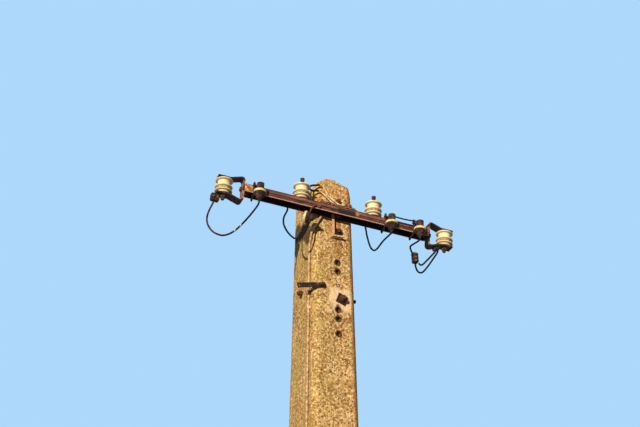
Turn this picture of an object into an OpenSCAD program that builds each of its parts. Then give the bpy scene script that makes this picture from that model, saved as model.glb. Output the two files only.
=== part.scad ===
// Reinforced-concrete distribution pole with a steel channel crossarm, spool insulators and
// surge arresters. Millimetres, +Z up, origin at the centre of the pole's foot at ground level.
// The crossarm lies along X on the pole's -Y face, and the line it carried runs off along +Y.

/* [Pole] */
// Height of the pole's ridge above the ground
pole_h = 7395; // [6000:5:9500]
// Width across the front at the top
top_w = 200; // [165:5:260]
// Depth along the line at the top
top_d = 282; // [230:5:350]
// Gain of width for each metre down
gain_w = 24; // [10:1:32]
// Gain of depth for each metre down
gain_d = 55; // [20:1:70]
// Leg of each chamfered corner
chamfer = 28; // [10:1:36]
// Rise of the two-slope top
gable_rise = 38; // [20:1:60]
// Diameter of the cast-in holes
hole_d = 20; // [14:1:26]
// Sideways offset of the column of front holes
hole_x = 15; // [-20:1:25]

/* [Crossarm] */
// Length between the two end stirrups
arm_len = 950; // [900:10:1300]
// Height of the channel's flanges, which point down
arm_h = 40; // [38:1:60]
// Width of the channel's web, which lies on top
arm_w = 60; // [56:1:80]
// Thickness of the channel's web
arm_web = 6; // [5:0.5:8]
// Depth of the arm's centre below the pole's ridge
arm_drop = 202; // [160:1:300]
// Sideways offset of the arm's centre
arm_x = 5; // [-20:1:20]
// Droop of the arm's right end, in degrees
arm_tilt = 4.2; // [0:0.1:6]

/* [Insulators] */
// Diameter of the spool insulators
spool_d = 85; // [75:1:90]
// Height of the spool insulators
spool_h = 80; // [72:1:88]
// Distance of the inner insulators from the arm's centre
inner_x = 187; // [165:1:230]
// Distance of the end insulators past the arm's ends
outer_reach = 96; // [85:1:130]
// Diameter of the spindle bolts
spindle_d = 16; // [12:1:20]

/* [Stirrups] */
// Width of the stirrup's strap
strap_w = 45; // [35:1:50]
// Thickness of the stirrup's strap
strap_t = 8; // [6:1:10]
// Height of the stirrup's back plate
strap_back = 142; // [125:1:160]
// Reach of the stirrup past its spindle
strap_past = 36; // [24:1:44]
// Height of the left stirrup's centre above the arm's centre line
left_rise = -8; // [-12:1:12]
// Height of the right stirrup's centre above the arm's centre line
right_rise = 0; // [-12:1:12]

/* [Arresters] */
// Diameter of the arrester's porcelain cap
arrester_d = 60; // [50:1:64]
// Height of the arrester's porcelain cap
arrester_h = 18; // [14:1:24]
// Distance of the outer arresters from the arm's ends
arrester_inset = 64; // [50:1:80]
// Distance between the two arresters on the right
arrester_step = 150; // [110:1:165]

/* [Leads] */
// Diameter of the jumper leads
lead_d = 9; // [6:0.5:10]
// Diameter of the bare lead over the pole's shoulder
top_lead_d = 8; // [5:0.5:10]
// Diameter of the earth lead down the pole
earth_d = 12; // [8:1:14]

/* [Hidden] */
$fn = 48;

// Clearance between a piece and the one it is seated on
seat = 0.3;
// Clearance round a bolt in its hole, on the diameter
bolt_play = 2;
// Small overshoot of a cut past the face it opens
over = 1;

// Section of the pole at any height
function pole_w(z) = top_w + (pole_h - z) * gain_w / 1000;
function pole_d(z) = top_d + (pole_h - z) * gain_d / 1000;
function face_y(z) = -pole_d(z) / 2;
function side_x(z) = pole_w(z) / 2;
lean_d = atan(gain_d / 2000);
lean_w = atan(gain_w / 2000);
ridge_w = 42;
ridge_x = -14;
shoulder_w = 16;
shoulder_a = 65;
shoulder_from = 0.8;
function roof_run(s) = top_w / 2 - ridge_w / 2 - s * ridge_x;

// Heights of the holes and bolts in the pole, from the ridge down
front_hole_drop = [452, 499, 697, 745, 819];
side_hole_drop = 138;
side_hole_y = 6;
side_hole_d = 16;
tie_drop = 643;
tie_x = 32;
tie_d = 20;
side_bolt_drop = 570;
side_bolt_d = 18;

// Crossarm
arm_z = pole_h - arm_drop;
arm_bolt_d = 18;
arm_bolt_x = 14;
flange_root = 7.5;
flange_toe = 5.5;
end_t = 8;
mid_y = -arm_w / 2;
outer_x = arm_len / 2 + outer_reach;
foot_t = 6;
spool_base = arm_h / 2 + foot_t + 3 * seat;
stub_h = 36;
nut_h = 13;
plate_t = 8;
arm_back_y = pole_d(arm_z) / (1 - pow(tan(lean_d), 2));
arm_back_z = arm_z - arm_back_y * tan(lean_d);

// Saddle on the arm where it crosses the pole, and the bolt in the pole above it
saddle_t = 6;
saddle_pad = 8;
saddle_top = arm_h / 2 + seat + saddle_t + saddle_pad;
saddle_y = 17 - arm_w;
saddle_w = 30;
saddle_ends = [-98, 92];
pad_ends = [-70, 84];
saddle_bolt = [[-84, 0], [40, saddle_pad], [64, saddle_pad]];
saddle_bolt_d = 9;
face_bolt_x = 23;
face_bolt_drop = 118;
face_bolt_d = 12;

// Arresters, and how far each one is fitted above or below the usual height
arrester_x = [
    arrester_inset - arm_len / 2,
    arm_len / 2 - arrester_inset - arrester_step,
    arm_len / 2 - arrester_inset
];
arrester_lift = [-6, 2, 6];
arrester_y = -arm_w - arrester_d / 2 - 3;
cup_h = 34;
cup_shoulder = 8;
terminal_h = 12;
terminal_d = 9;
bracket_t = 4;
bracket_w = 30;
head_d = 35;
head_h = 33;
hook_d = 8;
function cap_z(k) = arrester_lift[k] - arm_h / 2 - 7;
function head_z(k) = cap_z(k) + arrester_h + seat;
// The lowest bracket's ear still puts its nut above the arm
ear_rise = arm_h / 2 + seat - head_z(0);
stud_h = ear_rise + 15;

// Frame of the crossarm: x along it, y = 0 on the pole's face, z = 0 on its centre line
module on_arm() {
    translate([arm_x, face_y(arm_z), arm_z])
        rotate([-lean_d, 0, 0])
            rotate([0, arm_tilt, 0])
                children();
}
function arm_point(p) =
    let (
        x = p[0] * cos(arm_tilt) + p[2] * sin(arm_tilt),
        z = p[2] * cos(arm_tilt) - p[0] * sin(arm_tilt)
    )
    [arm_x + x, face_y(arm_z) + p[1] * cos(lean_d) + z * sin(lean_d),
        arm_z - p[1] * sin(lean_d) + z * cos(lean_d)];

// Frame on the front face of the pole, and on the back face by mirror
module on_face(x, z, back = 0) {
    mirror([0, back, 0])
        translate([x, face_y(z), z])
            rotate([-lean_d, 0, 0])
                children();
}

module hex(d, h) {
    cylinder(d = d, h = h, $fn = 6);
}

// Rod with its axis along +Y from the point given
module rod_y(p, d, h) {
    translate(p)
        rotate([-90, 0, 0])
            cylinder(d = d, h = h);
}

module rod_between(a, b, d) {
    v = b - a;
    len = norm(v);
    translate(a)
        rotate([0, acos(v[2] / len), atan2(v[1], v[0])])
            cylinder(d = d, h = len);
}

// Route of a lead: a smooth curve through a few chosen points, and the tube along it
function spline(p0, p1, p2, p3, t) =
    0.5 * ((2 * p1) + (p2 - p0) * t + (2 * p0 - 5 * p1 + 4 * p2 - p3) * t * t
        + (3 * p1 - p0 - 3 * p2 + p3) * t * t * t);
function route(p, per) =
    let (n = len(p))
    concat(
        [for (i = [0 : n - 2], k = [0 : per - 1])
            spline(p[max(i - 1, 0)], p[i], p[i + 1], p[min(i + 2, n - 1)], k / per)],
        [p[n - 1]]
    );
function unit(v) = v / norm(v);
function tangent(p, i) = unit(p[min(i + 1, len(p) - 1)] - p[max(i - 1, 0)]);

module tube(points, d, sides = 8, across = [0.1, 1, 0.05]) {
    n = len(points);
    rings = [for (i = [0 : n - 1])
        let (t = tangent(points, i), u = unit(cross(t, across)), v = cross(t, u))
        for (k = [0 : sides - 1])
            points[i] + (u * cos(360 * k / sides) + v * sin(360 * k / sides)) * d / 2];
    skin = [for (i = [0 : n - 2], k = [0 : sides - 1])
        [i * sides + k, (i + 1) * sides + k, (i + 1) * sides + (k + 1) % sides, i * sides + (k + 1) % sides]];
    polyhedron(
        points = rings,
        faces = concat(skin, [[for (k = [0 : sides - 1]) k]],
            [[for (k = [sides - 1 : -1 : 0]) (n - 1) * sides + k]])
    );
}

// Strap bent to a path: rounded corners, then an outline of even thickness on both sides
function bend(a, p, b, r, steps = 4) =
    let (
        ua = unit(a - p), ub = unit(b - p),
        half = acos(ua * ub) / 2,
        reach = r / tan(half),
        centre = p + unit(ua + ub) * r / sin(half),
        from = p + ua * reach - centre,
        to = p + ub * reach - centre,
        start = atan2(from[1], from[0]),
        turn = (atan2(to[1], to[0]) - start + 540) % 360 - 180
    )
    [for (i = [0 : steps]) centre + r * [cos(start + turn * i / steps), sin(start + turn * i / steps)]];
function bent(path, r) =
    let (n = len(path))
    concat([path[0]], [for (i = [1 : n - 2]) each bend(path[i - 1], path[i], path[i + 1], r)], [path[n - 1]]);
function side_of(path, i, t) =
    let (
        n = len(path),
        a = unit(path[max(i, 1)] - path[max(i, 1) - 1]),
        b = unit(path[min(i + 1, n - 1)] - path[min(i + 1, n - 1) - 1]),
        m = unit(a + b)
    )
    path[i] + t / 2 / (m * a) * [-m[1], m[0]];
function strip(path, t) = concat(
    [for (i = [0 : len(path) - 1]) side_of(path, i, t)],
    [for (i = [len(path) - 1 : -1 : 0]) side_of(path, i, -t)]
);

// Plan of the pole at any height, with chamfered corners
function ring8(x, y, c, z) = [
    [-x + c, -y, z], [x - c, -y, z], [x, -y + c, z], [x, y - c, z],
    [x - c, y, z], [-x + c, y, z], [-x, y - c, z], [-x, -y + c, z]
];
function section(z) = ring8(side_x(z), pole_d(z) / 2, chamfer, z);

module shaft_solid() {
    sides = [for (i = [0 : 7]) [i, i + 8, (i + 1) % 8 + 8, (i + 1) % 8]];
    polyhedron(
        points = concat(section(0), section(pole_h)),
        faces = concat([[0, 1, 2, 3, 4, 5, 6, 7]], [[15, 14, 13, 12, 11, 10, 9, 8]], sides)
    );
}

// Two slopes from an off-centre ridge, each with a steep shoulder at its eave
module gable_cut() {
    for (s = [-1, 1]) {
        slope = atan(gable_rise / roof_run(s));
        cut_above([ridge_x + s * ridge_w / 2, 0, pole_h], s, slope);
        cut_above([s * (top_w / 2 - shoulder_w), 0, pole_h - shoulder_from * gable_rise], s, shoulder_a);
    }
}

module cut_above(p, s, slope) {
    translate(p)
        rotate([0, s * slope, 0])
            translate([s > 0 ? 0 : -top_w, -top_d, 0])
                cube([top_w, 2 * top_d, top_w]);
}

module front_bore(x, z, d) {
    reach = pole_d(z) + 4 * over;
    rod_y([x, -reach / 2, z], d, reach);
}

module side_bore(y, z, d) {
    reach = pole_w(z) + 4 * over;
    translate([-reach / 2, y, z])
        rotate([0, 90, 0])
            cylinder(d = d, h = reach);
}

module pole_shaft() {
    color("#b99a63")
        difference() {
            shaft_solid();
            gable_cut();
            for (drop = front_hole_drop)
                front_bore(hole_x, pole_h - drop, hole_d);
            front_bore(tie_x, pole_h - tie_drop, tie_d + bolt_play);
            front_bore(face_bolt_x, pole_h - face_bolt_drop, face_bolt_d + bolt_play);
            side_bore(side_hole_y, pole_h - side_hole_drop, side_hole_d);
            side_bore(0, pole_h - side_bolt_drop, side_bolt_d + bolt_play);
            on_arm()
                rod_y([arm_bolt_x, -over, 0], arm_bolt_d + bolt_play, pole_d(arm_z) + 40);
        }
}

// Channel laid flat, its web on top and its flanges down, with a plate welded across each end
module crossarm() {
    top = arm_h / 2;
    on_arm() translate([0, -seat, 0]) color("#7a4234")
        difference() {
            union() {
                translate([-arm_len / 2, 0, 0])
                    rotate([90, 0, 90])
                        linear_extrude(arm_len)
                            polygon([
                                [0, top], [0, -top], [-flange_toe, -top], [-flange_root, top - arm_web],
                                [flange_root - arm_w, top - arm_web], [flange_toe - arm_w, -top],
                                [-arm_w, -top], [-arm_w, top]
                            ]);
                for (s = [-1, 1])
                    translate([s * (arm_len - end_t) / 2 - end_t / 2, -arm_w, -top])
                        cube([end_t, arm_w, arm_h]);
            }
            rod_y([arm_bolt_x, -flange_root - over, 0], arm_bolt_d + bolt_play, flange_root + 2 * over);
            for (s = [-1, 1])
                translate([s * inner_x, mid_y + seat, top - arm_web - over])
                    cylinder(d = spindle_d + bolt_play, h = arm_web + 2 * over);
            for (s = [-1, 1])
                translate([s * (arm_len - end_t) / 2 - end_t / 2 - over, mid_y + seat, 0])
                    rotate([0, 90, 0])
                        cylinder(d = spindle_d + bolt_play, h = end_t + 2 * over);
        }
}

// Bolt through the rear flange and the pole, its head in the channel and its nut on the rear plate
module crossarm_bolt() {
    head = flange_root + 2 * seat;
    on_arm() color("#5d3a2e") {
        rod_y([arm_bolt_x, -head, 0], arm_bolt_d, head + arm_back_y + plate_t + nut_h + 14);
        translate([arm_bolt_x, -head, 0])
            rotate([90, 30, 0])
                hex(27, nut_h);
        translate([arm_bolt_x, arm_back_y + plate_t + 4 * seat, 0])
            rotate([-90, 0, 0])
                hex(32, nut_h);
    }
}

module rear_plate() {
    color("#6b4030")
        on_face(arm_x + arm_bolt_x * cos(arm_tilt), arm_back_z - arm_bolt_x * sin(arm_tilt), 1)
            difference() {
                translate([-40, -plate_t - seat, -40])
                    cube([80, plate_t, 80]);
                rod_y([0, -plate_t - seat - over, 0], arm_bolt_d + 2 * bolt_play, plate_t + 2 * over);
            }
}

module saddle_plate() {
    top = arm_h / 2 + seat;
    on_arm() color("#8a5a48")
        difference() {
            union() {
                translate([saddle_ends[0], saddle_y - saddle_w / 2, top])
                    cube([saddle_ends[1] - saddle_ends[0], saddle_w, saddle_t]);
                translate([pad_ends[0], saddle_y - saddle_w / 2 + 3, top])
                    cube([pad_ends[1] - pad_ends[0], saddle_w - 6, saddle_t + saddle_pad]);
            }
            for (b = saddle_bolt)
                translate([b[0], saddle_y, top - over])
                    cylinder(d = saddle_bolt_d + bolt_play, h = saddle_t + saddle_pad + 2 * over);
        }
}

module saddle_bolts() {
    on_arm() color("#5a2f24")
        for (b = saddle_bolt)
            translate([b[0], saddle_y, arm_h / 2 + saddle_t + b[1] + 2 * seat]) {
                hex(19, 9);
                cylinder(d = saddle_bolt_d, h = 20);
            }
}

// Bolt through the pole above the arm, with a nut on each side
module face_bolt() {
    z = pole_h - face_bolt_drop;
    reach = pole_d(z) / 2 + 2 * seat;
    color("#5a3226")
        for (s = [-1, 1])
            translate([face_bolt_x, 0, z])
                rotate([-90 * s, 0, 0]) {
                    cylinder(d = face_bolt_d, h = reach + 16);
                    translate([0, 0, reach])
                        hex(21, 9);
                }
}

// Stirrup bent from flat strap: back plate, two arms that close on the spool, two flat ears
ear_z = spool_h / 2 + seat;
ear_from = outer_x - 26;
ear_to = outer_x + strap_past;
strap_back_x = arm_len / 2 + seat + strap_t / 2;
strap_root_z = (strap_back - strap_t) / 2;
strap_ear_z = ear_z + strap_t / 2;
strap_path = [
    [ear_to, strap_ear_z], [ear_from, strap_ear_z], [strap_back_x, strap_root_z],
    [strap_back_x, -strap_root_z], [ear_from, -strap_ear_z], [ear_to, -strap_ear_z]
];
function stirrup_rise(s) = s < 0 ? left_rise : right_rise;
strap_slope = atan((strap_root_z - strap_ear_z) / (ear_from - strap_back_x));

module stirrup(s) {
    rise = stirrup_rise(s);
    on_arm() color("#54352c")
        difference() {
            translate([0, mid_y, rise])
                rotate([90, 0, 0])
                    linear_extrude(strap_w, center = true)
                        mirror([s < 0 ? 1 : 0, 0, 0])
                            polygon(strip(bent(strap_path, 12), strap_t));
            translate([s * outer_x, mid_y, rise - strap_back / 2])
                cylinder(d = spindle_d + bolt_play, h = strap_back);
            translate([s * strap_back_x - strap_t, mid_y, 0])
                rotate([0, 90, 0])
                    cylinder(d = spindle_d + bolt_play, h = 2 * strap_t);
        }
}

module left_stirrup() stirrup(-1);
module right_stirrup() stirrup(1);

module stirrup_bolts() {
    on_arm() color("#9a5a34")
        for (s = [-1, 1])
            translate([s * (arm_len / 2 + strap_t + 2 * seat), mid_y, 0])
                rotate([0, -90 * s, 0]) {
                    translate([0, 0, -10])
                        hex(26, 10);
                    cylinder(d = spindle_d, h = strap_t + end_t + nut_h + 8);
                    translate([0, 0, strap_t + end_t + 3 * seat])
                        rotate([0, 0, 30])
                            hex(27, nut_h);
                }
}

// Spool insulator: foot, three flanges and two wire grooves, revolved round its bore
function arc(r, z, rad, from, to, steps) =
    [for (i = [0 : steps]) let (a = from + (to - from) * i / steps) [r + rad * cos(a), z + rad * sin(a)]];
spool_bore_d = spindle_d + bolt_play;
neck_r = spool_d / 2 - 10.5;
level = spool_h / 80;
rim_t = 4 * level;
rim_r = spool_d / 2 - rim_t;
rim_root_r = rim_r - 2.5;
groove_r = 8.5 * level;
groove_x = neck_r + 8.5;
groove_z = 22 * level;
module spool() {
    color("#efe2b4")
        rotate_extrude($fn = 64)
            polygon(concat(
                [[spool_bore_d / 2, 0], [21, 0], [22, 4 * level], [34, 5 * level]],
                arc(rim_r, 9 * level, rim_t, -90, 90, 4),
                [[rim_root_r, 13.5 * level]],
                arc(groove_x, groove_z, groove_r, 270, 90, 6),
                arc(rim_r, 35 * level, rim_t, -90, 90, 4),
                [[rim_root_r, 40 * level], [neck_r + 2, 43 * level], [neck_r, 48 * level]],
                [[neck_r, 59 * level], [neck_r + 2, 63 * level], [rim_root_r, 66 * level]],
                arc(rim_r, 70 * level, rim_t, -90, 90, 4),
                [[35, 76 * level], [28, 80 * level], [spool_bore_d / 2, 80 * level]]
            ));
}

module at_inner(s) {
    on_arm() translate([s * inner_x, mid_y, spool_base]) children();
}

module at_outer(s) {
    on_arm() translate([s * outer_x, mid_y, stirrup_rise(s) - spool_h / 2]) children();
}

module left_end_insulator() at_outer(-1) spool();
module left_inner_insulator() at_inner(-1) spool();
module right_inner_insulator() at_inner(1) spool();
module right_end_insulator() at_outer(1) spool();

// Bolt through a spool and both ears of its stirrup
module end_spindle(s) {
    below = strap_t + 2 * seat;
    at_outer(s) color("#4a3a34") {
        translate([0, 0, -below - nut_h])
            hex(27, nut_h);
        translate([0, 0, -below - nut_h - 10])
            cylinder(d = spindle_d, h = spool_h + 2 * below + nut_h + 20);
        translate([0, 0, spool_h + below])
            hex(25, 7);
    }
}

// Bolt up through the web, a washer and a spool, with a nut in the channel and a collar on top
module inner_spindle(s) {
    below = foot_t + arm_web + 4 * seat;
    at_inner(s) color("#4a3a34") {
        translate([0, 0, -foot_t - seat])
            cylinder(d = 52, h = foot_t);
        translate([0, 0, -below - nut_h])
            hex(27, nut_h);
        translate([0, 0, -below - nut_h - 6])
            cylinder(d = spindle_d, h = below + nut_h + 6 + spool_h + stub_h);
        translate([0, 0, spool_h + seat])
            hex(26, 7);
        translate([0, 0, spool_h + stub_h - 12])
            cylinder(d = spindle_d + 5, h = 12);
    }
}

module left_end_spindle() end_spindle(-1);
module left_inner_spindle() inner_spindle(-1);
module right_inner_spindle() inner_spindle(1);
module right_end_spindle() end_spindle(1);

// Two turns of binding wire in the lower groove of each spool
tie_wire_d = 5;
tie_pitch = tie_wire_d + seat;
tie_room = groove_r * cos(15) - tie_wire_d / 2 - seat;
tie_ring_r = groove_x - sqrt(pow(tie_room, 2) - pow(tie_pitch / 2, 2));
module tie_turns() {
    for (k = [-0.5, 0.5])
        translate([0, 0, groove_z + k * tie_pitch])
            rotate_extrude($fn = 48)
                translate([tie_ring_r, 0])
                    circle(d = tie_wire_d, $fn = 12);
}

module tie_wires() {
    color("#6a5038")
        for (s = [-1, 1]) {
            at_outer(s) tie_turns();
            at_inner(s) tie_turns();
        }
}

// Arrester: shallow porcelain cap, steel skirt below it and a terminal
module arrester_dome() {
    edge = arrester_d / 2;
    dome_rise = arrester_h - 7;
    dome_r = (pow(edge, 2) + pow(dome_rise, 2)) / (2 * dome_rise);
    color("#ead6a0")
        rotate_extrude($fn = 48)
            polygon(concat(
                [[0, 0], [edge - 2, 0], [edge, 3]],
                arc(0, arrester_h - dome_r, dome_r, acos(edge / dome_r), 90, 6)
            ));
}

module arrester_cup() {
    lip = arrester_d / 2 - 2;
    color("#7b4a30") {
        translate([0, 0, -cup_h])
            rotate_extrude($fn = 48)
                polygon([[0, 0], [8, 0], [13, 3], [17, 13], [lip - 1.5, cup_h - cup_shoulder],
                    [lip, cup_h - cup_shoulder + 3], [lip, cup_h - seat], [0, cup_h - seat]]);
        translate([0, 0, -cup_h - terminal_h])
            cylinder(d = terminal_d, h = terminal_h + 2);
        translate([0, 0, -cup_h - 5])
            hex(15, 6);
    }
}

module at_arrester(k) {
    on_arm()
        translate([arrester_x[k], arrester_y, cap_z(k)])
            children();
}

// Round head on a front plate, with a hook bolt that passes under both flanges
module arrester_bracket(k) {
    front = -arm_w - 2 * seat;
    base = head_z(k);
    hook_x = 7 - arrester_d / 2 - hook_d / 2 + 5;
    hook_y = front - hook_d / 2;
    hook_low = -arm_h / 2 - hook_d / 2 - 3;
    hook = [
        [hook_x, hook_y, base + stud_h], [hook_x, hook_y, hook_low + 7],
        [hook_x, hook_y + 1.2, hook_low + 3.2], [hook_x + 1, hook_y + 4, hook_low + 0.8],
        [hook_x + 2, hook_y + 8, hook_low], [hook_x + 11, 1, hook_low],
        [hook_x + 12, 7, hook_low + 1.5], [hook_x + 12, 10, hook_low + 6], [hook_x + 12, 10.6, hook_low + 13]
    ];
    on_arm() color("#40302a")
        translate([arrester_x[k], 0, 0]) {
            translate([-bracket_w / 2, front - bracket_t, base])
                cube([bracket_w, bracket_t, ear_rise]);
            translate([0, arrester_y, base])
                cylinder(d = head_d, h = head_h);
            translate([-11, arrester_y, base + 5])
                cube([22, front - arrester_y, 20]);
            translate([hook_x - 7, hook_y - 7, base + ear_rise - 8])
                cube([7 - hook_x, hook_d / 2 + 7, 8]);
            translate([hook_x, hook_y, base + ear_rise])
                hex(14, 8);
            tube(hook, hook_d, 12, [1, 0.1, 0.05]);
        }
}

module arrester_1_body() at_arrester(0) arrester_dome();
module arrester_2_body() at_arrester(1) arrester_dome();
module arrester_3_body() at_arrester(2) arrester_dome();
module arrester_1_cup() at_arrester(0) arrester_cup();
module arrester_2_cup() at_arrester(1) arrester_cup();
module arrester_3_cup() at_arrester(2) arrester_cup();
module arrester_1_bracket() arrester_bracket(0);
module arrester_2_bracket() arrester_bracket(1);
module arrester_3_bracket() arrester_bracket(2);

// Fourth arrester: turned on its side under the arm beside the pole, and hung from a hook
side_arrester = [-156, mid_y - 17, -arm_h / 2 - 53];
side_turn = 152;
side_tip = 78;
lug_z = -18;
lug_reach = 26;
module at_arrester_4() {
    on_arm() translate(side_arrester) rotate([0, 0, side_turn]) rotate([0, side_tip, 0]) children();
}
function by_arrester_4(p) =
    let (
        x = p[0] * cos(side_tip) + p[2] * sin(side_tip),
        z = p[2] * cos(side_tip) - p[0] * sin(side_tip)
    )
    side_arrester + [x * cos(side_turn) - p[1] * sin(side_turn), x * sin(side_turn) + p[1] * cos(side_turn), z];
module arrester_4_body() at_arrester_4() arrester_dome();
module arrester_4_cup() {
    at_arrester_4() {
        arrester_cup();
        color("#7b4a30")
            translate([0, 0, lug_z])
                rotate([0, 90, 0])
                    cylinder(d = 13, h = lug_reach);
    }
}

hook_rest = arrester_d / 2 - 3.5 + hook_d / 2 + 2 * seat;
hook_front = -arm_w - hook_d / 2 - 2 * seat;
hook_points = [
    [-106, hook_front, -8],
    [-118, hook_front - 2, -8],
    [-130, hook_front - 2, -13],
    [-138, hook_front - 1.5, -arm_h / 2 - 5],
    by_arrester_4([-hook_rest - 14, 0, -cup_shoulder]),
    by_arrester_4([-hook_rest, 0, -cup_shoulder])
];
module arrester_4_hook() {
    on_arm() color("#a07850") {
        tube(route(hook_points, 3), hook_d, 12, [1, 0, 0.2]);
        translate([hook_points[0][0], -arm_w - 2 * seat, hook_points[0][2]])
            rotate([90, 0, 0])
                hex(18, 9);
    }
}

// Bare rod that bonds the heads of arresters two and three
bond_d = 5;
bond_rise = 27;
module bond_wire() {
    on_arm() color("#2e2622")
        rod_between(
            [arrester_x[1] + head_d / 2 + seat, arrester_y, head_z(1) + bond_rise],
            [arrester_x[2] - head_d / 2 - seat, arrester_y, head_z(2) + bond_rise],
            bond_d
        );
}

// Upright bar on the rear flange's inner face, down the pole's face, with a turned foot
hanger_x = -8;
hanger_y = -flange_root - 2 * seat;
hanger_t = 7;
hanger_low = -110;
module hanger_rod() {
    color("#c8a878")
        on_face(hanger_x, arm_z)
            translate([0, hanger_y, 0])
                rotate([90, 0, 0])
                    linear_extrude(hanger_t)
                        polygon(strip(bent([[0, 12], [0, hanger_low + 8], [-9, hanger_low]], 8), 11));
}

// Shelf on the pole's face under the hanger's foot
shoe_w = 58;
shoe_t = 8;
shoe_out = 22;
shoe_z = arm_z + hanger_low - shoe_t - seat - 4;
module shoe() {
    color("#3f2c25")
        on_face(13, shoe_z) {
            translate([-shoe_w / 2, -shoe_out - seat, 0])
                cube([shoe_w, shoe_out, shoe_t]);
            translate([-2, -5 - seat, 0])
                cube([26, 5, 52]);
        }
}

// Bolt head on the shoe's upright
module shoe_bolt() {
    color("#3a2a24")
        on_face(24, shoe_z + 38)
            translate([0, -5 - 2 * seat - 12, 0])
                rotate([-90, 0, 0])
                    hex(21, 12);
}

// Bolt through the pole with a turned square plate in front and behind
tie_z = pole_h - tie_drop;
module tie_bolt() {
    face = pole_d(tie_z) / 2;
    nut_from = face + plate_t + 3 * seat;
    color("#3a241c")
        for (s = [-1, 1])
            translate([tie_x, 0, tie_z])
                rotate([-90 * s, 0, 0]) {
                    cylinder(d = tie_d, h = nut_from + 14 + 12);
                    translate([0, 0, nut_from])
                        hex(32, 14);
                }
}

module tie_plates() {
    color("#4d2f24")
        for (back = [0, 1])
            on_face(tie_x, tie_z, back)
                difference() {
                    translate([0, -plate_t / 2 - seat, 0])
                        rotate([0, 22, 0])
                            cube([46, plate_t, 46], center = true);
                    rod_y([0, -plate_t - seat - over, 0], tie_d + 2 * bolt_play, plate_t + 2 * over);
                }
}

// Flat bracket bolted to the front, reaching out past the left side
service_z = pole_h - 585;
service_t = 8;
service_x = -72;
module service_bracket() {
    color("#4a3228")
        on_face(service_x, service_z)
            rotate([0, -10, 0]) {
                difference() {
                    translate([-118, -service_t - seat, -11])
                        cube([140, service_t, 22]);
                    rod_y([-108, -20, 0], 9, 30);
                }
                translate([0, -service_t - seat, 0])
                    rotate([90, 0, 0])
                        hex(20, 9);
            }
}

// Bolt across the pole, nutted on both sides, with a long plain end on the right
module side_bolt() {
    reach = side_x(pole_h - side_bolt_drop);
    color("#7a4634")
        translate([0, 0, pole_h - side_bolt_drop])
            rotate([0, 90, 0]) {
                translate([0, 0, -reach - 24])
                    cylinder(d = side_bolt_d, h = 2 * reach + 24 + 62);
                translate([0, 0, reach + 2 * seat])
                    hex(30, 14);
                translate([0, 0, -reach - 14 - 2 * seat])
                    hex(30, 14);
            }
}

// Clamps that join the jumpers to the dead-end conductors
module line_clamp(w, h) {
    color("#4a3a30")
        translate([0, 0, -h - seat]) {
            translate([-w / 2, -12, 0])
                cube([w, 24, h]);
            for (x = [-w / 4, w / 4])
                translate([x, -12, h / 2 + x / 4])
                    rotate([90, 0, 0])
                        hex(min(14, 0.6 * h), 6);
        }
}

left_clamp_h = 42;
module left_line_clamp() {
    on_arm()
        translate([-ear_to - 1, mid_y, left_rise - ear_z - strap_t])
            line_clamp(42, left_clamp_h);
}

right_clamp_at = 0.66;
module right_line_clamp() {
    along = strap_back_x + (ear_from - strap_back_x) * right_clamp_at;
    height = strap_root_z + (strap_ear_z - strap_root_z) * right_clamp_at;
    on_arm()
        translate([along, mid_y, right_rise - height])
            rotate([0, -strap_slope, 0])
                translate([0, 0, -strap_t / 2])
                    line_clamp(30, 16);
}

// Free leads, in the arm's frame
left_jumper_points = [
    [-611, -30, -100.5], [-618, -32, -122], [-627, -34, -150], [-634, -37, -179], [-636, -41, -206],
    [-632, -45, -231], [-621, -49, -253], [-604, -53, -271], [-583, -57, -281], [-560, -60, -283],
    [-538, -64, -275], [-518, -68, -261], [-500, -72, -242], [-483, -75, -219], [-465, -80, -192],
    [-447, -84, -162], [-430, -88, -131], [-417, -91, -105], [-412, -93, -90], [-411, -93, -79.3]
];
left_inner_jumper_points = [
    [-214.6, -2.4, 49], [-223, 6, 48], [-230, 13, 41], [-234, 17, 29], [-236, 18, 13],
    [-236, 16, -4], [-237, 12, -21], [-242, 8, -39], [-250, 3, -58], [-256, -2, -78],
    [-258, -6, -99], [-256, -11, -121], [-249, -16, -141], [-240, -21, -159], [-228, -27, -176],
    [-215, -33, -190], [-202, -37, -196], [-189, -43, -194], [-177, -49, -186], [-168, -54, -172],
    [-162, -57, -156], [-157, -57, -140], [-152, -54, -127], [-148, -51.5, -115], [-145.3, -52.7, -102.7]
];
right_inner_jumper_points = [
    [175, 7, 49], [172, 15, 48], [170, 21, 42], [168.5, 24, 31], [168, 23, 17],
    [168, 19, 1], [168.5, 14, -15], [170, 8, -34], [171, 1, -58], [174, -8, -86],
    [178, -19, -118], [183, -30, -144], [189, -40, -159], [196, -49, -165], [204, -58, -159],
    [212, -65, -146], [221, -72, -129], [232, -78, -112], [244, -84, -97], [254, -89, -84],
    [260, -92.5, -77], [261, -93, -71.3]
];
right_jumper_points = [
    [411, -93, -67.4], [410.5, -93, -73], [406, -92, -80], [398, -90.5, -88], [388.5, -88.5, -96],
    [379, -86.5, -104], [370, -84, -112], [366.5, -82, -121], [370, -79, -130], [377, -75, -139], [384, -71.5, -150],
    [390, -69, -162], [396, -66, -177], [402, -63.5, -191], [407, -60, -205], [413, -57, -217],
    [422, -54, -226], [433, -52, -229], [446, -50, -224], [458, -47, -211], [469, -44.5, -195],
    [480, -41.5, -178], [491, -38.5, -160], [502, -35.5, -141], [513, -32.5, -122], [524, -29.5, -103],
    [533, -28, -86], [539, -27.5, -71.5]
];
right_short_points = [
    [422.5, -63, -187], [431, -59, -190], [440, -55, -187], [450, -50, -178], [460, -46, -166],
    [471, -42, -151], [482, -38.5, -137], [493, -35, -122], [504, -31.5, -107], [514, -28, -94],
    [521, -27, -84], [526, -27, -76.6]
];
module left_jumper() on_arm() color("#6a4c34") tube(route(left_jumper_points, 2), lead_d);
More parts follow.
